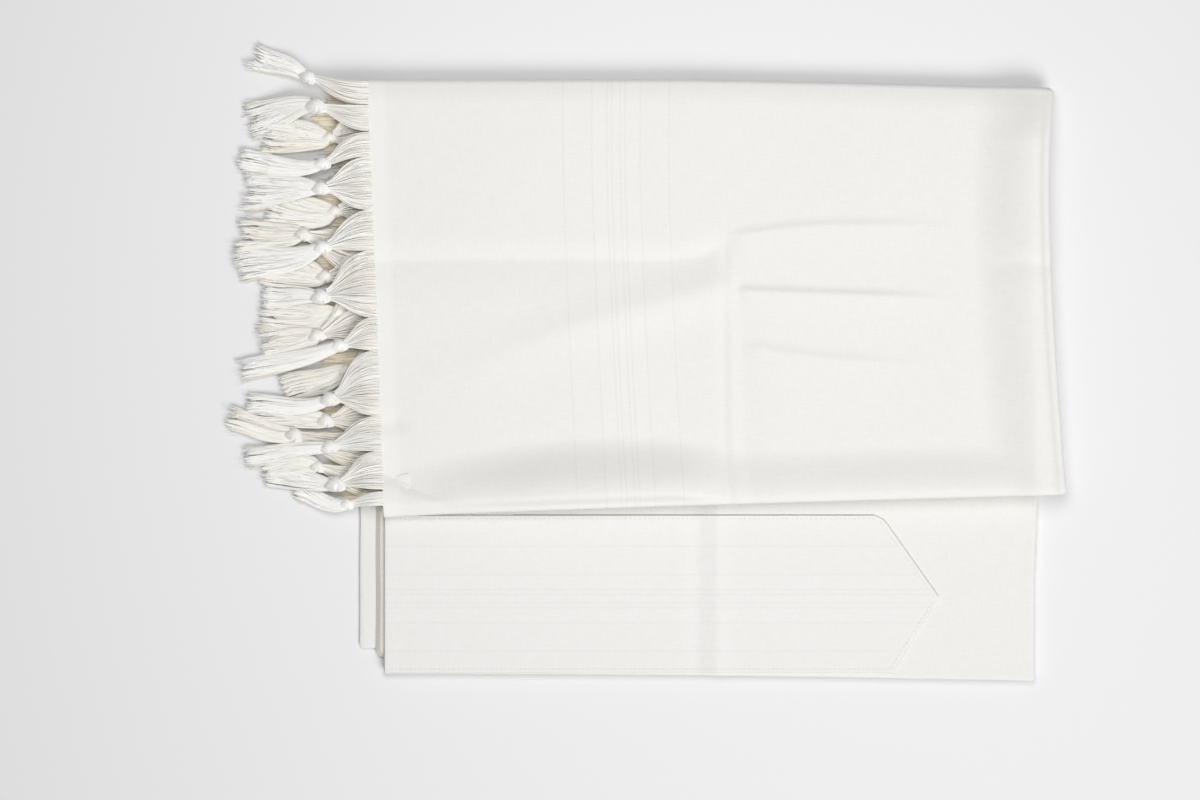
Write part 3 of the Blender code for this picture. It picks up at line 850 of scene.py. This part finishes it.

# %% [markdown]
# The upper edge and the slanted edge are also joined by a closer seam. Its thread sits in the corner
# between the two cloths and is darker than the sewing thread, as painted shadow: it reads as the one fine
# dark line of that edge's shadow. A rendered shadow alone would be too soft for that, so it is a single
# tube along the edge.

# %% The seam along the upper and the slanted edge, darkened as painted shadow
SEAM_RADIUS = 0.24
SEAM_START = -90.0
down = np.linspace(BAND_BACK - 0.2, point[1] + 1.0, 60)
along_x = np.append(np.linspace(SEAM_START, BAND_CORNERS[1] - 5.0, 90), band_right_x(down) + 0.5)
along_y = np.append(np.full(90, BAND_BACK + 0.4), down)
cord = np.stack([along_x, along_y, lower_surface(along_x, along_y) + 0.25], axis=-1)[None]
cord_points, cord_faces, _ = thread_tubes(cord, np.full(cord.shape[:2], SEAM_RADIUS), 6)
# Painted shadow: this thread is coloured darker than the sewing thread, for the dark line along the edge.
seam_shadow_thread = new_material("seam_shadow_thread", (0.66, 0.62, 0.54), roughness=0.85, sheen=0.1)[0]
seam_shadow_cord = add_piece("neckband_seam_shadow", cord_points, cord_faces, seam_shadow_thread)
stands_for(seam_shadow_cord, "neckband")

# %% [markdown]
# ## The tassels
#
# Each tassel has three stretches: a fan of threads that leave the woven edge, an overhand knot, and a
# tail that opens behind it like a brush. There are two rows. The upper row hangs from the top panel and
# lies over the lower row, which hangs from the end that is folded beneath. The tables give only where
# each tassel leaves the cloth and where its knot and tip lie, as the solids of the frame do. Everything
# else is worked out, because nobody wants to place ten thousand threads. Two tassels of the
# lower row share a solid of the frame with a neighbour.

# %% The two rows of tassels
TOP_TASSELS = (
    # root centre and root width along the edge, knot, knot radius, tip, tip width, knot height
    (186.5, 15, (-232, 198), 4.4, (-268, 214), 14, 7.0),
    (169.0, 17, (-226, 178), 5.4, (-272, 167), 20, 8.0),
    (151.0, 16, (-222, 138), 4.4, (-278, 140), 12, 8.5),
    (124.0, 35, (-223, 121), 4.6, (-274, 119), 22, 8.5),
    (91.5, 27, (-222, 80), 4.6, (-279, 65), 20, 8.5),
    (54.5, 44, (-223, 46), 5.0, (-262, 47), 13, 8.0),
    (20.0, 22, (-210, 12), 4.4, (-277, -6), 12, 9.0),
    (-14.0, 43, (-217, -25), 5.0, (-273, -31), 11, 8.5),
    (-48.5, 23, (-217, -58), 4.6, (-274, -64), 10, 8.0),
    (-74.0, 25, (-213, -84), 5.2, (-258, -75), 14, 8.0),
    (-93.5, 9, (-205, -98), 3.6, (-239, -89), 10, 8.0),
)
UNDER_TASSELS = (
    # the same columns
    (162.0, 50, (-218, 156), 4.0, (-262, 160), 20, 4.2),
    (112.0, 42, (-214, 105), 4.2, (-261, 109), 22, 4.2),
    (76.0, 36, (-236, 89), 4.6, (-277, 86), 17, 4.4),
    (34.0, 44, (-226, 19), 4.8, (-264, 11), 21, 4.6),
    (-4.0, 36, (-206, -6), 4.2, (-248, -20), 15, 4.4),
    (-36.0, 34, (-220, -40), 4.6, (-268, -34), 13, 4.4),
    (-62.0, 26, (-242, -50), 4.8, (-286, -40), 11, 4.4),
    (-84.0, 22, (-226, -72), 4.0, (-262, -72), 12, 4.2),
    (64.0, 34, (-221, 60), 4.4, (-262, 68), 20, 4.4),
    (44.0, 26, (-212, 34), 4.2, (-262, 35), 20, 4.0),
)
UNDER_NODES = (1, 2, 3, 4, 5, 6, 7, 8, 3, 4)
YARN_RADIUS = 0.27
LOW_LEVEL = 5.0
UP = np.array([0.0, 0.0, 1.0])
print(len(TOP_TASSELS), "tassels above and", len(UNDER_TASSELS), "below")

# %% [markdown]
# ## The knots
#
# From outside an overhand knot reads as two bands of parallel threads that cross over a rounded lump.
# Tying a true knot of fifty threads would need a rope solver, and its inside never shows. So each band
# is a set of rings round the lump, slanted one way for the first and the other for the second, and a
# plain rounded core closes the gaps between them.

# %% The bands of a knot, and its core
KNOT_FLATNESS = 0.82
KNOT_BANDS = (
    # half width, slant, lift, threads
    (1.0, 0.45, 0.0, 15),
    (0.5, -0.85, 0.45, 10),
)


def knot_bands(centre, axis, across, size, draw):
    """Two bands of parallel threads that cross over a rounded lump."""
    pieces = []
    for band, (half_width, slant, lift, count) in enumerate(KNOT_BANDS):
        offsets = (np.arange(count) + 0.5) / count * 2 - 1
        offsets = offsets * half_width * size + draw.uniform(-0.1, 0.1, count)
        turn = np.linspace(0, math.tau * 1.02, 22)[None, :] + draw.uniform(0, 0.3) + band * 2.1
        swell = np.sqrt(np.maximum(1 - (offsets / (1.25 * size)) ** 2, 0.1))[:, None] * size + lift
        shift = offsets[:, None] + slant * size * np.sin(turn - 0.7)
        swell = swell * (1 - 0.12 * np.abs(shift) / size)
        path = centre + axis * shift[..., None] + across * (swell * np.cos(turn))[..., None]
        path = path + UP * (KNOT_FLATNESS * swell * np.sin(turn))[..., None]
        pieces.append((path, np.full(path.shape[:2], YARN_RADIUS * 1.05)))
    return pieces


def knot_core(centre, axis, across, size, rings=9, sides=12):
    """A rounded lump that fills the inside of a knot."""
    share = np.linspace(-1, 1, rings) * 0.985
    girth = np.sqrt(1 - share**2)[:, None, None] * size * 0.93
    angle = (np.arange(sides) * math.tau / sides)[:, None]
    ring = centre + axis * (share * size * 1.12)[:, None, None] + across * girth * np.cos(angle)
    ring = ring + UP * KNOT_FLATNESS * girth * np.sin(angle)
    return ring.reshape(-1, 3), ring_faces(rings, sides), (ring - centre).reshape(-1, 3) / size


# %% [markdown]
# ## The fans
#
# The threads of a fan leave the woven edge square to it, as the weave held them, and then sweep
# together into the neck of the knot. A cubic curve does that with four points: the root, a point
# straight out from it, a point before the neck, and the thread's own seat in the neck. Each thread has
# a place along the edge and a height in the bunch, and both carry through, so the threads stay in order
# and don't cross. Under the drawn threads lies a thin web, for the many that are packed below them.

# %% The threads of a fan
THREAD_PITCH = 0.31


def fan_paths(row, edge_level, spot, layer, lead, jitter):
    """Paths from the woven edge to the neck of a tassel. spot is a thread's place along the edge, from
    -0.5 to 0.5, layer its height in the bunch, from -1 to 1, and lead how far it runs on straight."""
    root_y, root_w, knot, size, tip, tip_w, level = row
    root_at = root_y + spot * root_w * 1.06
    root_z = edge_level(root_at) - 0.45 + 0.5 * layer
    root = np.column_stack([fringe_edge_x(root_at) + 1.3, root_at, root_z])
    centre = np.array([*knot, level], float)
    towards = centre - np.array([fringe_edge_x(root_y), root_y, edge_level(np.array([root_y]))[0]])
    towards[2] *= 0.4
    towards = unit(towards)
    across = unit(np.array([towards[1], -towards[0], 0.0]))
    neck = centre - towards * size * 0.9
    bundle = 0.61 * math.sqrt(root_w)
    order = -spot * 2 if across[1] < 0 else spot * 2
    seat = across * (order * bundle)[:, None] + np.array([0, 0, 0.6]) * (layer * bundle)[:, None]
    reach = np.linalg.norm(neck[:2] - root[:, :2], axis=1)[:, None]
    out = root + np.array([-1.0, 0.0, -0.02]) * reach * lead + 0.5 * jitter[0] * (1, 1, 0.4)
    before = neck + seat * 1.5 - towards * (0.24 * reach) + 0.4 * jitter[1] * (1, 1, 0.3)
    paths = bezier(root, out, before, neck + seat, 12)
    facing = UP + across * (0.4 * order)[:, None]
    return paths, np.repeat(facing[:, None], 12, axis=1)


def fan_threads(row, edge_level, draw):
    """Threads of a fan, the way each faces in it, and how high each lies in it, from -1 to 1."""
    count = max(int(row[1] / THREAD_PITCH), 48)
    spot = (np.arange(count) + 0.5) / count - 0.5 + draw.normal(0, 0.25, count) / count
    layer = draw.uniform(-1, 1, count)
    lead = draw.uniform(0.40, 0.62, (count, 1))
    paths, facing = fan_paths(row, edge_level, spot, layer, lead, draw.normal(0, 1, (2, count, 3)))
    return paths, facing, layer


def fan_web(row, edge_level, guides=13):
    """The threads packed under a fan, as one thin surface that lies just below the ones drawn."""
    spot, still = np.linspace(-0.51, 0.51, guides), np.zeros((2, guides, 3))
    paths, facing = fan_paths(row, edge_level, spot, np.full(guides, -0.9), 0.5, still)
    paths[:, :, 2] -= 0.5
    return paths.reshape(-1, 3), grid_faces(*paths.shape[:2]), facing.reshape(-1, 3)


# %% [markdown]
# ## Loose yarn
#
# Under the lower row lie the unknotted threads of the plies further down. They are the backdrop that
# shows between the tails, flat on the surface, and are painted warmer and darker as painted shade, since
# they lie deep below the tassels. A second, thinner set of the same curves, without any wander, is
# skinned over as a mat that closes the gaps between them, and carries the full painted shade.

# %% Loose yarn under a tassel
LOOSE_PITCH, LOOSE_REACH = 0.55, 40.0


def loose_yarn(row, draw, guides=9):
    """The unknotted threads under one tassel, and the curves of the thin mat below them."""
    count = int(row[1] / LOOSE_PITCH)
    sheets = []
    for half_spread, number, wander in ((0.56, count, 1.0), (0.58, guides, 0.0)):
        spot = np.linspace(-half_spread, half_spread, number)
        y = row[0] + spot * row[1]
        edge = fringe_edge_x(y)
        drift = wander * draw.normal(0, 1, (4, number))
        reach = LOOSE_REACH * (1 - 0.45 * (2 * spot) ** 2)
        root = np.column_stack([edge + 4.0, y, 6.0 + 0.4 * drift[0]])
        out = np.column_stack([edge - 10, y + drift[1], 5.6 + 0.4 * drift[0]])
        before = np.column_stack([edge - 28, y + 2.4 * drift[2], 0.8 + 0 * y])
        end = np.column_stack([edge - reach + 2.5 * drift[3], y + 3.0 * drift[2], 0.7 + 0 * y])
        sheets.append(bezier(root, out, before, end, 9))
    sheets[1][:, :, 2] -= 0.35
    return sheets


# %% [markdown]
# ## The tails
#
# Behind its knot a tail opens like a brush and sinks to the surface it lies on. First comes its spine:
# a curve from knot to tip that carries on in the fan's direction at the start, with a half width and a
# half height at every step, so the tail is a flattened bundle. The threads then run over the surface
# of that bundle, which is all that shows. Hair could fill it, at many times the cost.

# %% The spine of a tail
def tail_spine(row, steps, bend):
    """The middle of a tail from knot to tip, its sideways direction, half width and half height."""
    root_y, root_w, knot, size, tip, tip_w, level = row
    t = np.linspace(0, 1, steps)
    run = np.array([tip[0] - knot[0], tip[1] - knot[1]], float)
    back = np.array([knot[0] - fringe_edge_x(root_y), knot[1] - root_y], float)
    back *= 0.30 * np.linalg.norm(run) / np.linalg.norm(back)
    start = np.array(knot, float)
    guides = (start, start + back, start + 0.72 * run, start + run)
    bent = bezier(*(guide[None] for guide in guides), steps)[0]
    heading = unit(np.gradient(bent, axis=0))
    sideways = np.column_stack([-heading[:, 1], heading[:, 0], 0 * t])
    bent = bent + sideways[:, :2] * (bend * np.sin(1.6 * math.pi * t))[:, None]
    low_row = level < LOW_LEVEL
    spread = t ** (0.5 if low_row else 0.85)
    half_width = blend(4.6 if low_row else 3.4, 0.62 * tip_w, spread) * (1 + 0.12 * np.sin(math.pi * t))
    half_height = blend(2.4, 1.5, t)
    settle = ease(t * 1.25)
    height = np.maximum(level * (1 - settle) + (half_height + 0.4) * settle, half_height + 0.4)
    return np.column_stack([bent, height]), sideways, half_width, half_height


def outwards(sideways, half_width, half_height, angle):
    """The way that the surface of a flattened bundle faces, with a share of straight up."""
    facing = sideways * (np.cos(angle) / half_width)[..., None]
    return unit(facing + UP * (np.sin(angle) / half_height)[..., None]) + 0.35 * UP


# %% [markdown]
# The threads of a tail lie in loose clumps that sway together, a few strays leave the bundle near the
# tip, and the cut ends are uneven. So every thread gets an angle round the bundle, takes the sway of
# its clump, and is lengthened or shortened a little. Most lie on the upper half, where they are seen.
# Below them a packed core stops short of the tips, so nothing is seen through the tail.

# %% The threads and the core of a tail
def tail_threads(row, count, bend, draw):
    """Fine threads over a tail's surface, the way each faces, and the painted shade of each, by how deep it
    lies.
    """
    steps = 11
    spine, sideways, half_width, half_height = tail_spine(row, steps, bend)
    t = np.linspace(0, 1, steps)[None, :]
    upper = draw.uniform(0, 1, count) < 0.86
    turn = np.where(upper, draw.uniform(0.02, 0.98, count), draw.uniform(1.0, 2.0, count)) * math.pi
    clump = np.floor(turn * 3.4).astype(int)
    sway = draw.normal(0, 1, (24, 3))[clump]
    angle = turn[:, None] + 0.10 * sway[:, :1] * t**1.5 + draw.normal(0, 0.06, (count, 1)) * t
    angle += draw.uniform(-0.35, 0.35) * t
    curl = draw.uniform(0.02, 0.09, (count, 1))
    angle += curl * np.sin(t * draw.uniform(4, 9, (count, 1)) + turn[:, None] * 5)
    out = draw.uniform(0.90, 1.06, (count, 1)) + 0.06 * sway[:, 1:2] * t**2
    out = out + draw.normal(0, 0.06, (count, 1)) * t**3
    path = spine[None] + sideways[None] * (half_width * out * np.cos(angle))[..., None]
    path[:, :, 2] += half_height * out * np.sin(angle)
    ahead = unit(spine[-1] - spine[-3])
    uneven = 1.3 * sway[:, 2] + draw.normal(0, 1.1, count) + draw.exponential(0.9, count)
    path += ahead * (uneven[:, None] * t**2)[..., None]
    stray = draw.normal(0, 1, count) * (draw.uniform(0, 1, count) < 0.25)
    path += sideways[-1] * (1.6 * stray[:, None] * t**4)[..., None]
    path[:, :, 2] = np.maximum(path[:, :, 2], 0.35)
    facing = outwards(sideways[None], half_width, half_height, angle)
    # Painted shade: little for threads on the tail's upper side, more for those round its underside.
    painted_shade = np.clip(0.42 - 0.5 * np.sin(turn) + draw.normal(0, 0.08, count), 0, 1)
    return path, facing, painted_shade


def shorten(values, share):
    """The same run of values, resampled over its first part only."""
    whole = np.linspace(0, 1, len(values))
    columns = values.reshape(len(values), -1).T
    resampled = [np.interp(whole * share, whole, column) for column in columns]
    return np.column_stack(resampled).reshape(values.shape)


def tail_core(row, bend, steps=11, sides=14):
    """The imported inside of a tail: a soft flattened body that stops short of the cut tips."""
    spine, sideways, half_width, half_height = (shorten(v, 0.90) for v in tail_spine(row, steps, bend))
    shrink = np.append(np.linspace(0.93, 0.80, steps - 3), (0.62, 0.42, 0.1))
    angle = np.arange(sides) * math.tau / sides
    sideways_reach = sideways * (half_width * shrink)[:, None]
    ring = spine[:, None] + sideways_reach[:, None] * np.cos(angle)[:, None]
    ring[:, :, 2] += (half_height * shrink)[:, None] * np.sin(angle)
    ring[:, :, 2] = np.maximum(ring[:, :, 2], 0.4)
    facing = outwards(sideways[:, None], half_width[:, None], half_height[:, None], angle[None, :])
    return ring.reshape(-1, 3), ring_faces(steps, sides)[:, ::-1], facing.reshape(-1, 3)


# %% [markdown]
# ## One tassel as one mesh
#
# All stretches of a tassel go into one mesh, threads first and imported bodies after. Two things are set
# point by point. The painted shade, from 0 outside to 1 deep inside, makes the yarn warmer and darker
# where it lies deep.
# The normals are those of the tubes, turned by a third towards the way the whole bundle faces, because
# real yarn is fuzzy: its threads don't each show a full dark side. A subsurface shader would soften
# them as well, but more slowly and with noise.

# %% Build a tassel
SOFTNESS = 0.32


def tassel_frame(row):
    """The knot's centre, the way the tassel runs through it, and the way across."""
    root_y, _, knot, _, tip, _, level = row
    run = np.array([tip[0] - knot[0], tip[1] - knot[1], 0.0])
    back = np.array([knot[0] - fringe_edge_x(root_y), knot[1] - root_y, 0.0])
    axis = unit(unit(run) + unit(back))
    return np.array([*knot, level], float), axis, np.array([axis[1], -axis[0], 0.0])


def tassel_parts(row, edge_level, draw):
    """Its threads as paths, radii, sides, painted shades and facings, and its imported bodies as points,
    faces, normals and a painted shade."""
    size, tip_w, level = row[3], row[5], row[6]
    bend = draw.uniform(-2.2, 2.2)
    fan, fan_facing, layer = fan_threads(row, edge_level, draw)
    count = int(np.clip(6.5 * (4 + tip_w), 130, 230))
    tail, tail_facing, tail_painted_shade = tail_threads(row, count, bend, draw)
    centre, axis, across = tassel_frame(row)
    # The number after the sides is painted shade: more for the fan's lower threads, none for the knot's
    # bands.
    threads = [(fan, np.full(fan.shape[:2], YARN_RADIUS), 4, 0.30 - 0.25 * layer, fan_facing)]
    for path, radii in knot_bands(centre, axis, across, size, draw):
        threads.append((path, radii, 4, np.full(len(path), 0.0), (path - centre) / size))
    fine = np.full(tail.shape[:2], YARN_RADIUS * 0.92)
    fine[:, -1] *= 0.5
    threads.append((tail, fine, 3, tail_painted_shade, tail_facing))
    # Painted shade for the bodies: 0.55 for the tail's core, 0.4 for the knot's core and 0.75 for the fan's
    # web.
    bodies = [(*tail_core(row, bend), 0.55), (*knot_core(centre, axis, across, size), 0.4)]
    bodies.append((*fan_web(row, edge_level), 0.75))
    if level < LOW_LEVEL:
        loose, mat = loose_yarn(row, draw)
        # Painted shade: 0.7 for the loose yarn and the full 1.0 for the mat below it.
        radii = np.full(loose.shape[:2], YARN_RADIUS)
        threads.append((loose, radii, 3, np.full(len(loose), 0.7), np.broadcast_to(UP, loose.shape)))
        mat_normals = np.broadcast_to(UP, mat.shape).reshape(-1, 3)
        bodies.append((mat.reshape(-1, 3), grid_faces(*mat.shape[:2]), mat_normals, 1.0))
    return threads, bodies


def tassel(name, row, edge_level, shade, seed):
    """One tassel as one mesh. shade is painted shade added to the whole of it, from 0 to 1, for how deep it
    lies.
    """
    threads, bodies = tassel_parts(row, edge_level, np.random.default_rng(seed))
    parts = []
    for path, radii, sides, part_shade, facing in threads:
        points, faces, tube_normals = thread_tubes(path, radii, sides)
        normals = blend(tube_normals, np.repeat(facing.reshape(-1, 3), sides, axis=0), SOFTNESS)
        parts.append((points, faces, normals, np.repeat(part_shade, path.shape[1] * sides)))
    for points, faces, normals, part_shade in bodies:
        parts.append((points, faces, normals, np.full(len(points), part_shade)))
    starts = np.cumsum([0] + [len(part[0]) for part in parts])
    points, normals, painted_shade = (np.concatenate([part[k] for part in parts]) for k in (0, 2, 3))
    faces = np.concatenate([part[1] + start for part, start in zip(parts, starts)])
    piece = add_piece(name, points, faces, yarn)
    piece.data.normals_split_custom_set_from_vertices(unit(normals))
    # Painted shade under the fan: points on the cloth's side of the knot that lie below it get up to half
    # more.
    painted_underside_shade = np.clip((row[6] - 1.0 - points[:, 2]) / 9.0, 0, 0.5) * (points[:, 0] > row[2][0])
    set_shade(piece, np.clip(painted_shade + shade + painted_underside_shade, 0, 1))
    return piece


# %% [markdown]
# ## Yarn
#
# The yarn is the same wool without the sheen of the finished cloth: a warm off-white. Deep between the
# threads it is painted warmer and darker still, as painted shade for light that has bounced from yarn to
# yarn there. The renderer makes a part of that by itself, but threads this fine need help. The painted
# shade that each tube point is given drives that warmth, and a fine noise breaks up the colour.

# %% Yarn material
FRINGE_WOOL = (0.98, 0.975, 0.955)
PAINTED_SHADE_WOOL = (0.88, 0.76, 0.54)
MOTTLE = ((0.9506, 0.94575, 0.92635, 1), (0.98, 0.975, 0.965, 1))


def yarn_material():
    material, tree, shader = new_material("yarn", FRINGE_WOOL, roughness=0.78, sheen=0.15)
    painted_shade = add_node(tree, "ShaderNodeAttribute", attribute_name="painted_shade").outputs["Fac"]
    place = add_node(tree, "ShaderNodeTexCoord").outputs["Object"]
    inputs = {"Vector": place, "Scale": 900.0, "Detail": 2.0}
    noise = add_node(tree, "ShaderNodeTexNoise", inputs).outputs["Fac"]
    # Painted shade: the more of it a point has, the warmer and darker its yarn.
    tone = mix_colour(tree, painted_shade, (*FRINGE_WOOL, 1), (*PAINTED_SHADE_WOOL, 1))
    mottled = mix_colour(tree, noise, *MOTTLE)
    final = mix_colour(tree, 0.35, tone, mottled)
    tree.links.new(final, shader.inputs["Base Color"])
    bump = add_node(tree, "ShaderNodeBump", {"Strength": 0.3, "Distance": 0.0002, "Height": noise})
    tree.links.new(bump.outputs[0], shader.inputs["Normal"])
    return material


yarn = yarn_material()

# %% [markdown]
# ## Tying the fringe
#
# Now the tables become tassels. The upper row starts at the height of the panel's own edge, and the
# lower row at the middle of the pile. Every tassel has its own seed, so no two are alike, and all are
# the same on every run. Copies of one tassel would be cheaper, but the eye finds a repeat at once.

# %% Tie the tassels
def top_edge_level(y):
    return top_surface(fringe_edge_x(y) + 2.0, y) + 0.40


under_edge_level = straight(8.8)
# The lower row gets 0.2 of painted shade over all of it, as it lies under the upper row.
for prefix, rows, nodes, edge_level, shade in (
    ("top", TOP_TASSELS, range(1, 12), top_edge_level, 0.0),
    ("under", UNDER_TASSELS, UNDER_NODES, under_edge_level, 0.2),
):
    for number, (row, node) in enumerate(zip(rows, nodes), 1):
        seed = 1000 + 100 * len(prefix) + number
        piece = tassel(f"tassel_{prefix}_{number:02d}", row, edge_level, shade, seed)
        stands_for(piece, f"fringe_{prefix}_{node:02d}")

# %% [markdown]
# ## What each sheet was cut to
#
# A cloth's UV map was laid in real millimetres, so its extent is the flat size of what shows, with the
# parts that are rolled under. The neckband's pointed end makes its area less than its length times its
# width. The whole shawl is far larger: most of it is folded away inside the pile. The size could be
# typed in by hand, but measuring it keeps it true when an edge is changed.

def flat_size(piece):
    uv = np.empty(len(piece.data.loops) * 2)
    piece.data.uv_layers["cloth_mm"].data.foreach_get("uv", uv)
    extent = np.ptp(uv.reshape(-1, 2), axis=0) * MM
    print(f"{piece.name}: flat {extent[0]:.3f} by {extent[1]:.3f} m")
    return float(extent[0]), float(extent[1])


def cloth_area(piece):
    return float(sum(face.area for face in piece.data.polygons))


band_flat = flat_size(neckband)
flat_size(top_panel)
flat_size(lower_panel)
for piece, low, high in ((fold_outer, outer_low, outer_high), (fold_inner, inner_low, inner_high)):
    fold_flat = ((high[0] - low[0]) * MM, (high[1] - low[1]) * MM)
    share = cloth_area(piece) / 2 / (fold_flat[0] * fold_flat[1])
    print(piece.name, "is", round(share, 2), "of its flat area")

# %% [markdown]
# ## Floor, light and camera
#
# The shawl lies on a plain pale surface and is seen from straight above. White on white only reads
# through soft shade, so the main light is a large panel low enough to rake across the creases. It
# stands in front of the neckband and to the right, and throws a soft shadow behind the pile. A small
# panel above the back half lifts the middle of the picture a little, and a pale surround fills the
# rest. A sun would be simpler, but its hard shadows would hide the soft rolls.

# %% Floor
def plain_floor():
    material = new_material("floor", (0.885, 0.885, 0.893), roughness=0.9, sheen=0.0)[0]
    bpy.ops.mesh.primitive_plane_add(size=6.0, location=(0, 0, -0.0002))
    floor = bpy.context.object
    floor.name = "floor"
    floor.data.materials.append(material)
    return floor


plain_floor()

# %% Light
def soft_panel(name, place, size, power):
    """An area light that looks at the middle of the scene, and that the camera doesn't see."""
    light = bpy.data.lights.new(name, "AREA")
    light.shape = "RECTANGLE"
    light.size, light.size_y = size
    light.energy = power
    lamp = bpy.data.objects.new(name, light)
    lamp.location = place
    lamp.visible_camera = False
    lamp.rotation_euler = (-Vector(place)).to_track_quat("-Z", "Y").to_euler()
    bpy.context.collection.objects.link(lamp)


soft_panel("main_light", (1.15, -1.8, 2.3), (2.0, 1.7), 62.8)
soft_panel("top_light", (0.0, 0.33, 1.1), (0.7, 0.7), 5.8)
scene = bpy.context.scene
scene.world = bpy.data.worlds.new("surround")
scene.world.use_nodes = True
background = scene.world.node_tree.nodes["Background"]
background.inputs["Color"].default_value = (1, 1, 1, 1)
background.inputs["Strength"].default_value = 0.18
scene.view_settings.view_transform = "Standard"

# %% Camera
CAMERA_HEIGHT = 2.4
VIEW_WIDTH = 0.8333
SENSOR_WIDTH = 36.0
view_centre = (-0.0299, -0.0257)
camera = bpy.data.objects.new("camera", bpy.data.cameras.new("camera"))
camera.location = (*view_centre, CAMERA_HEIGHT)
camera.data.sensor_width = SENSOR_WIDTH
camera.data.lens = SENSOR_WIDTH * CAMERA_HEIGHT / VIEW_WIDTH
bpy.context.collection.objects.link(camera)
scene.camera = camera
print("camera looks straight down from", CAMERA_HEIGHT, "m")
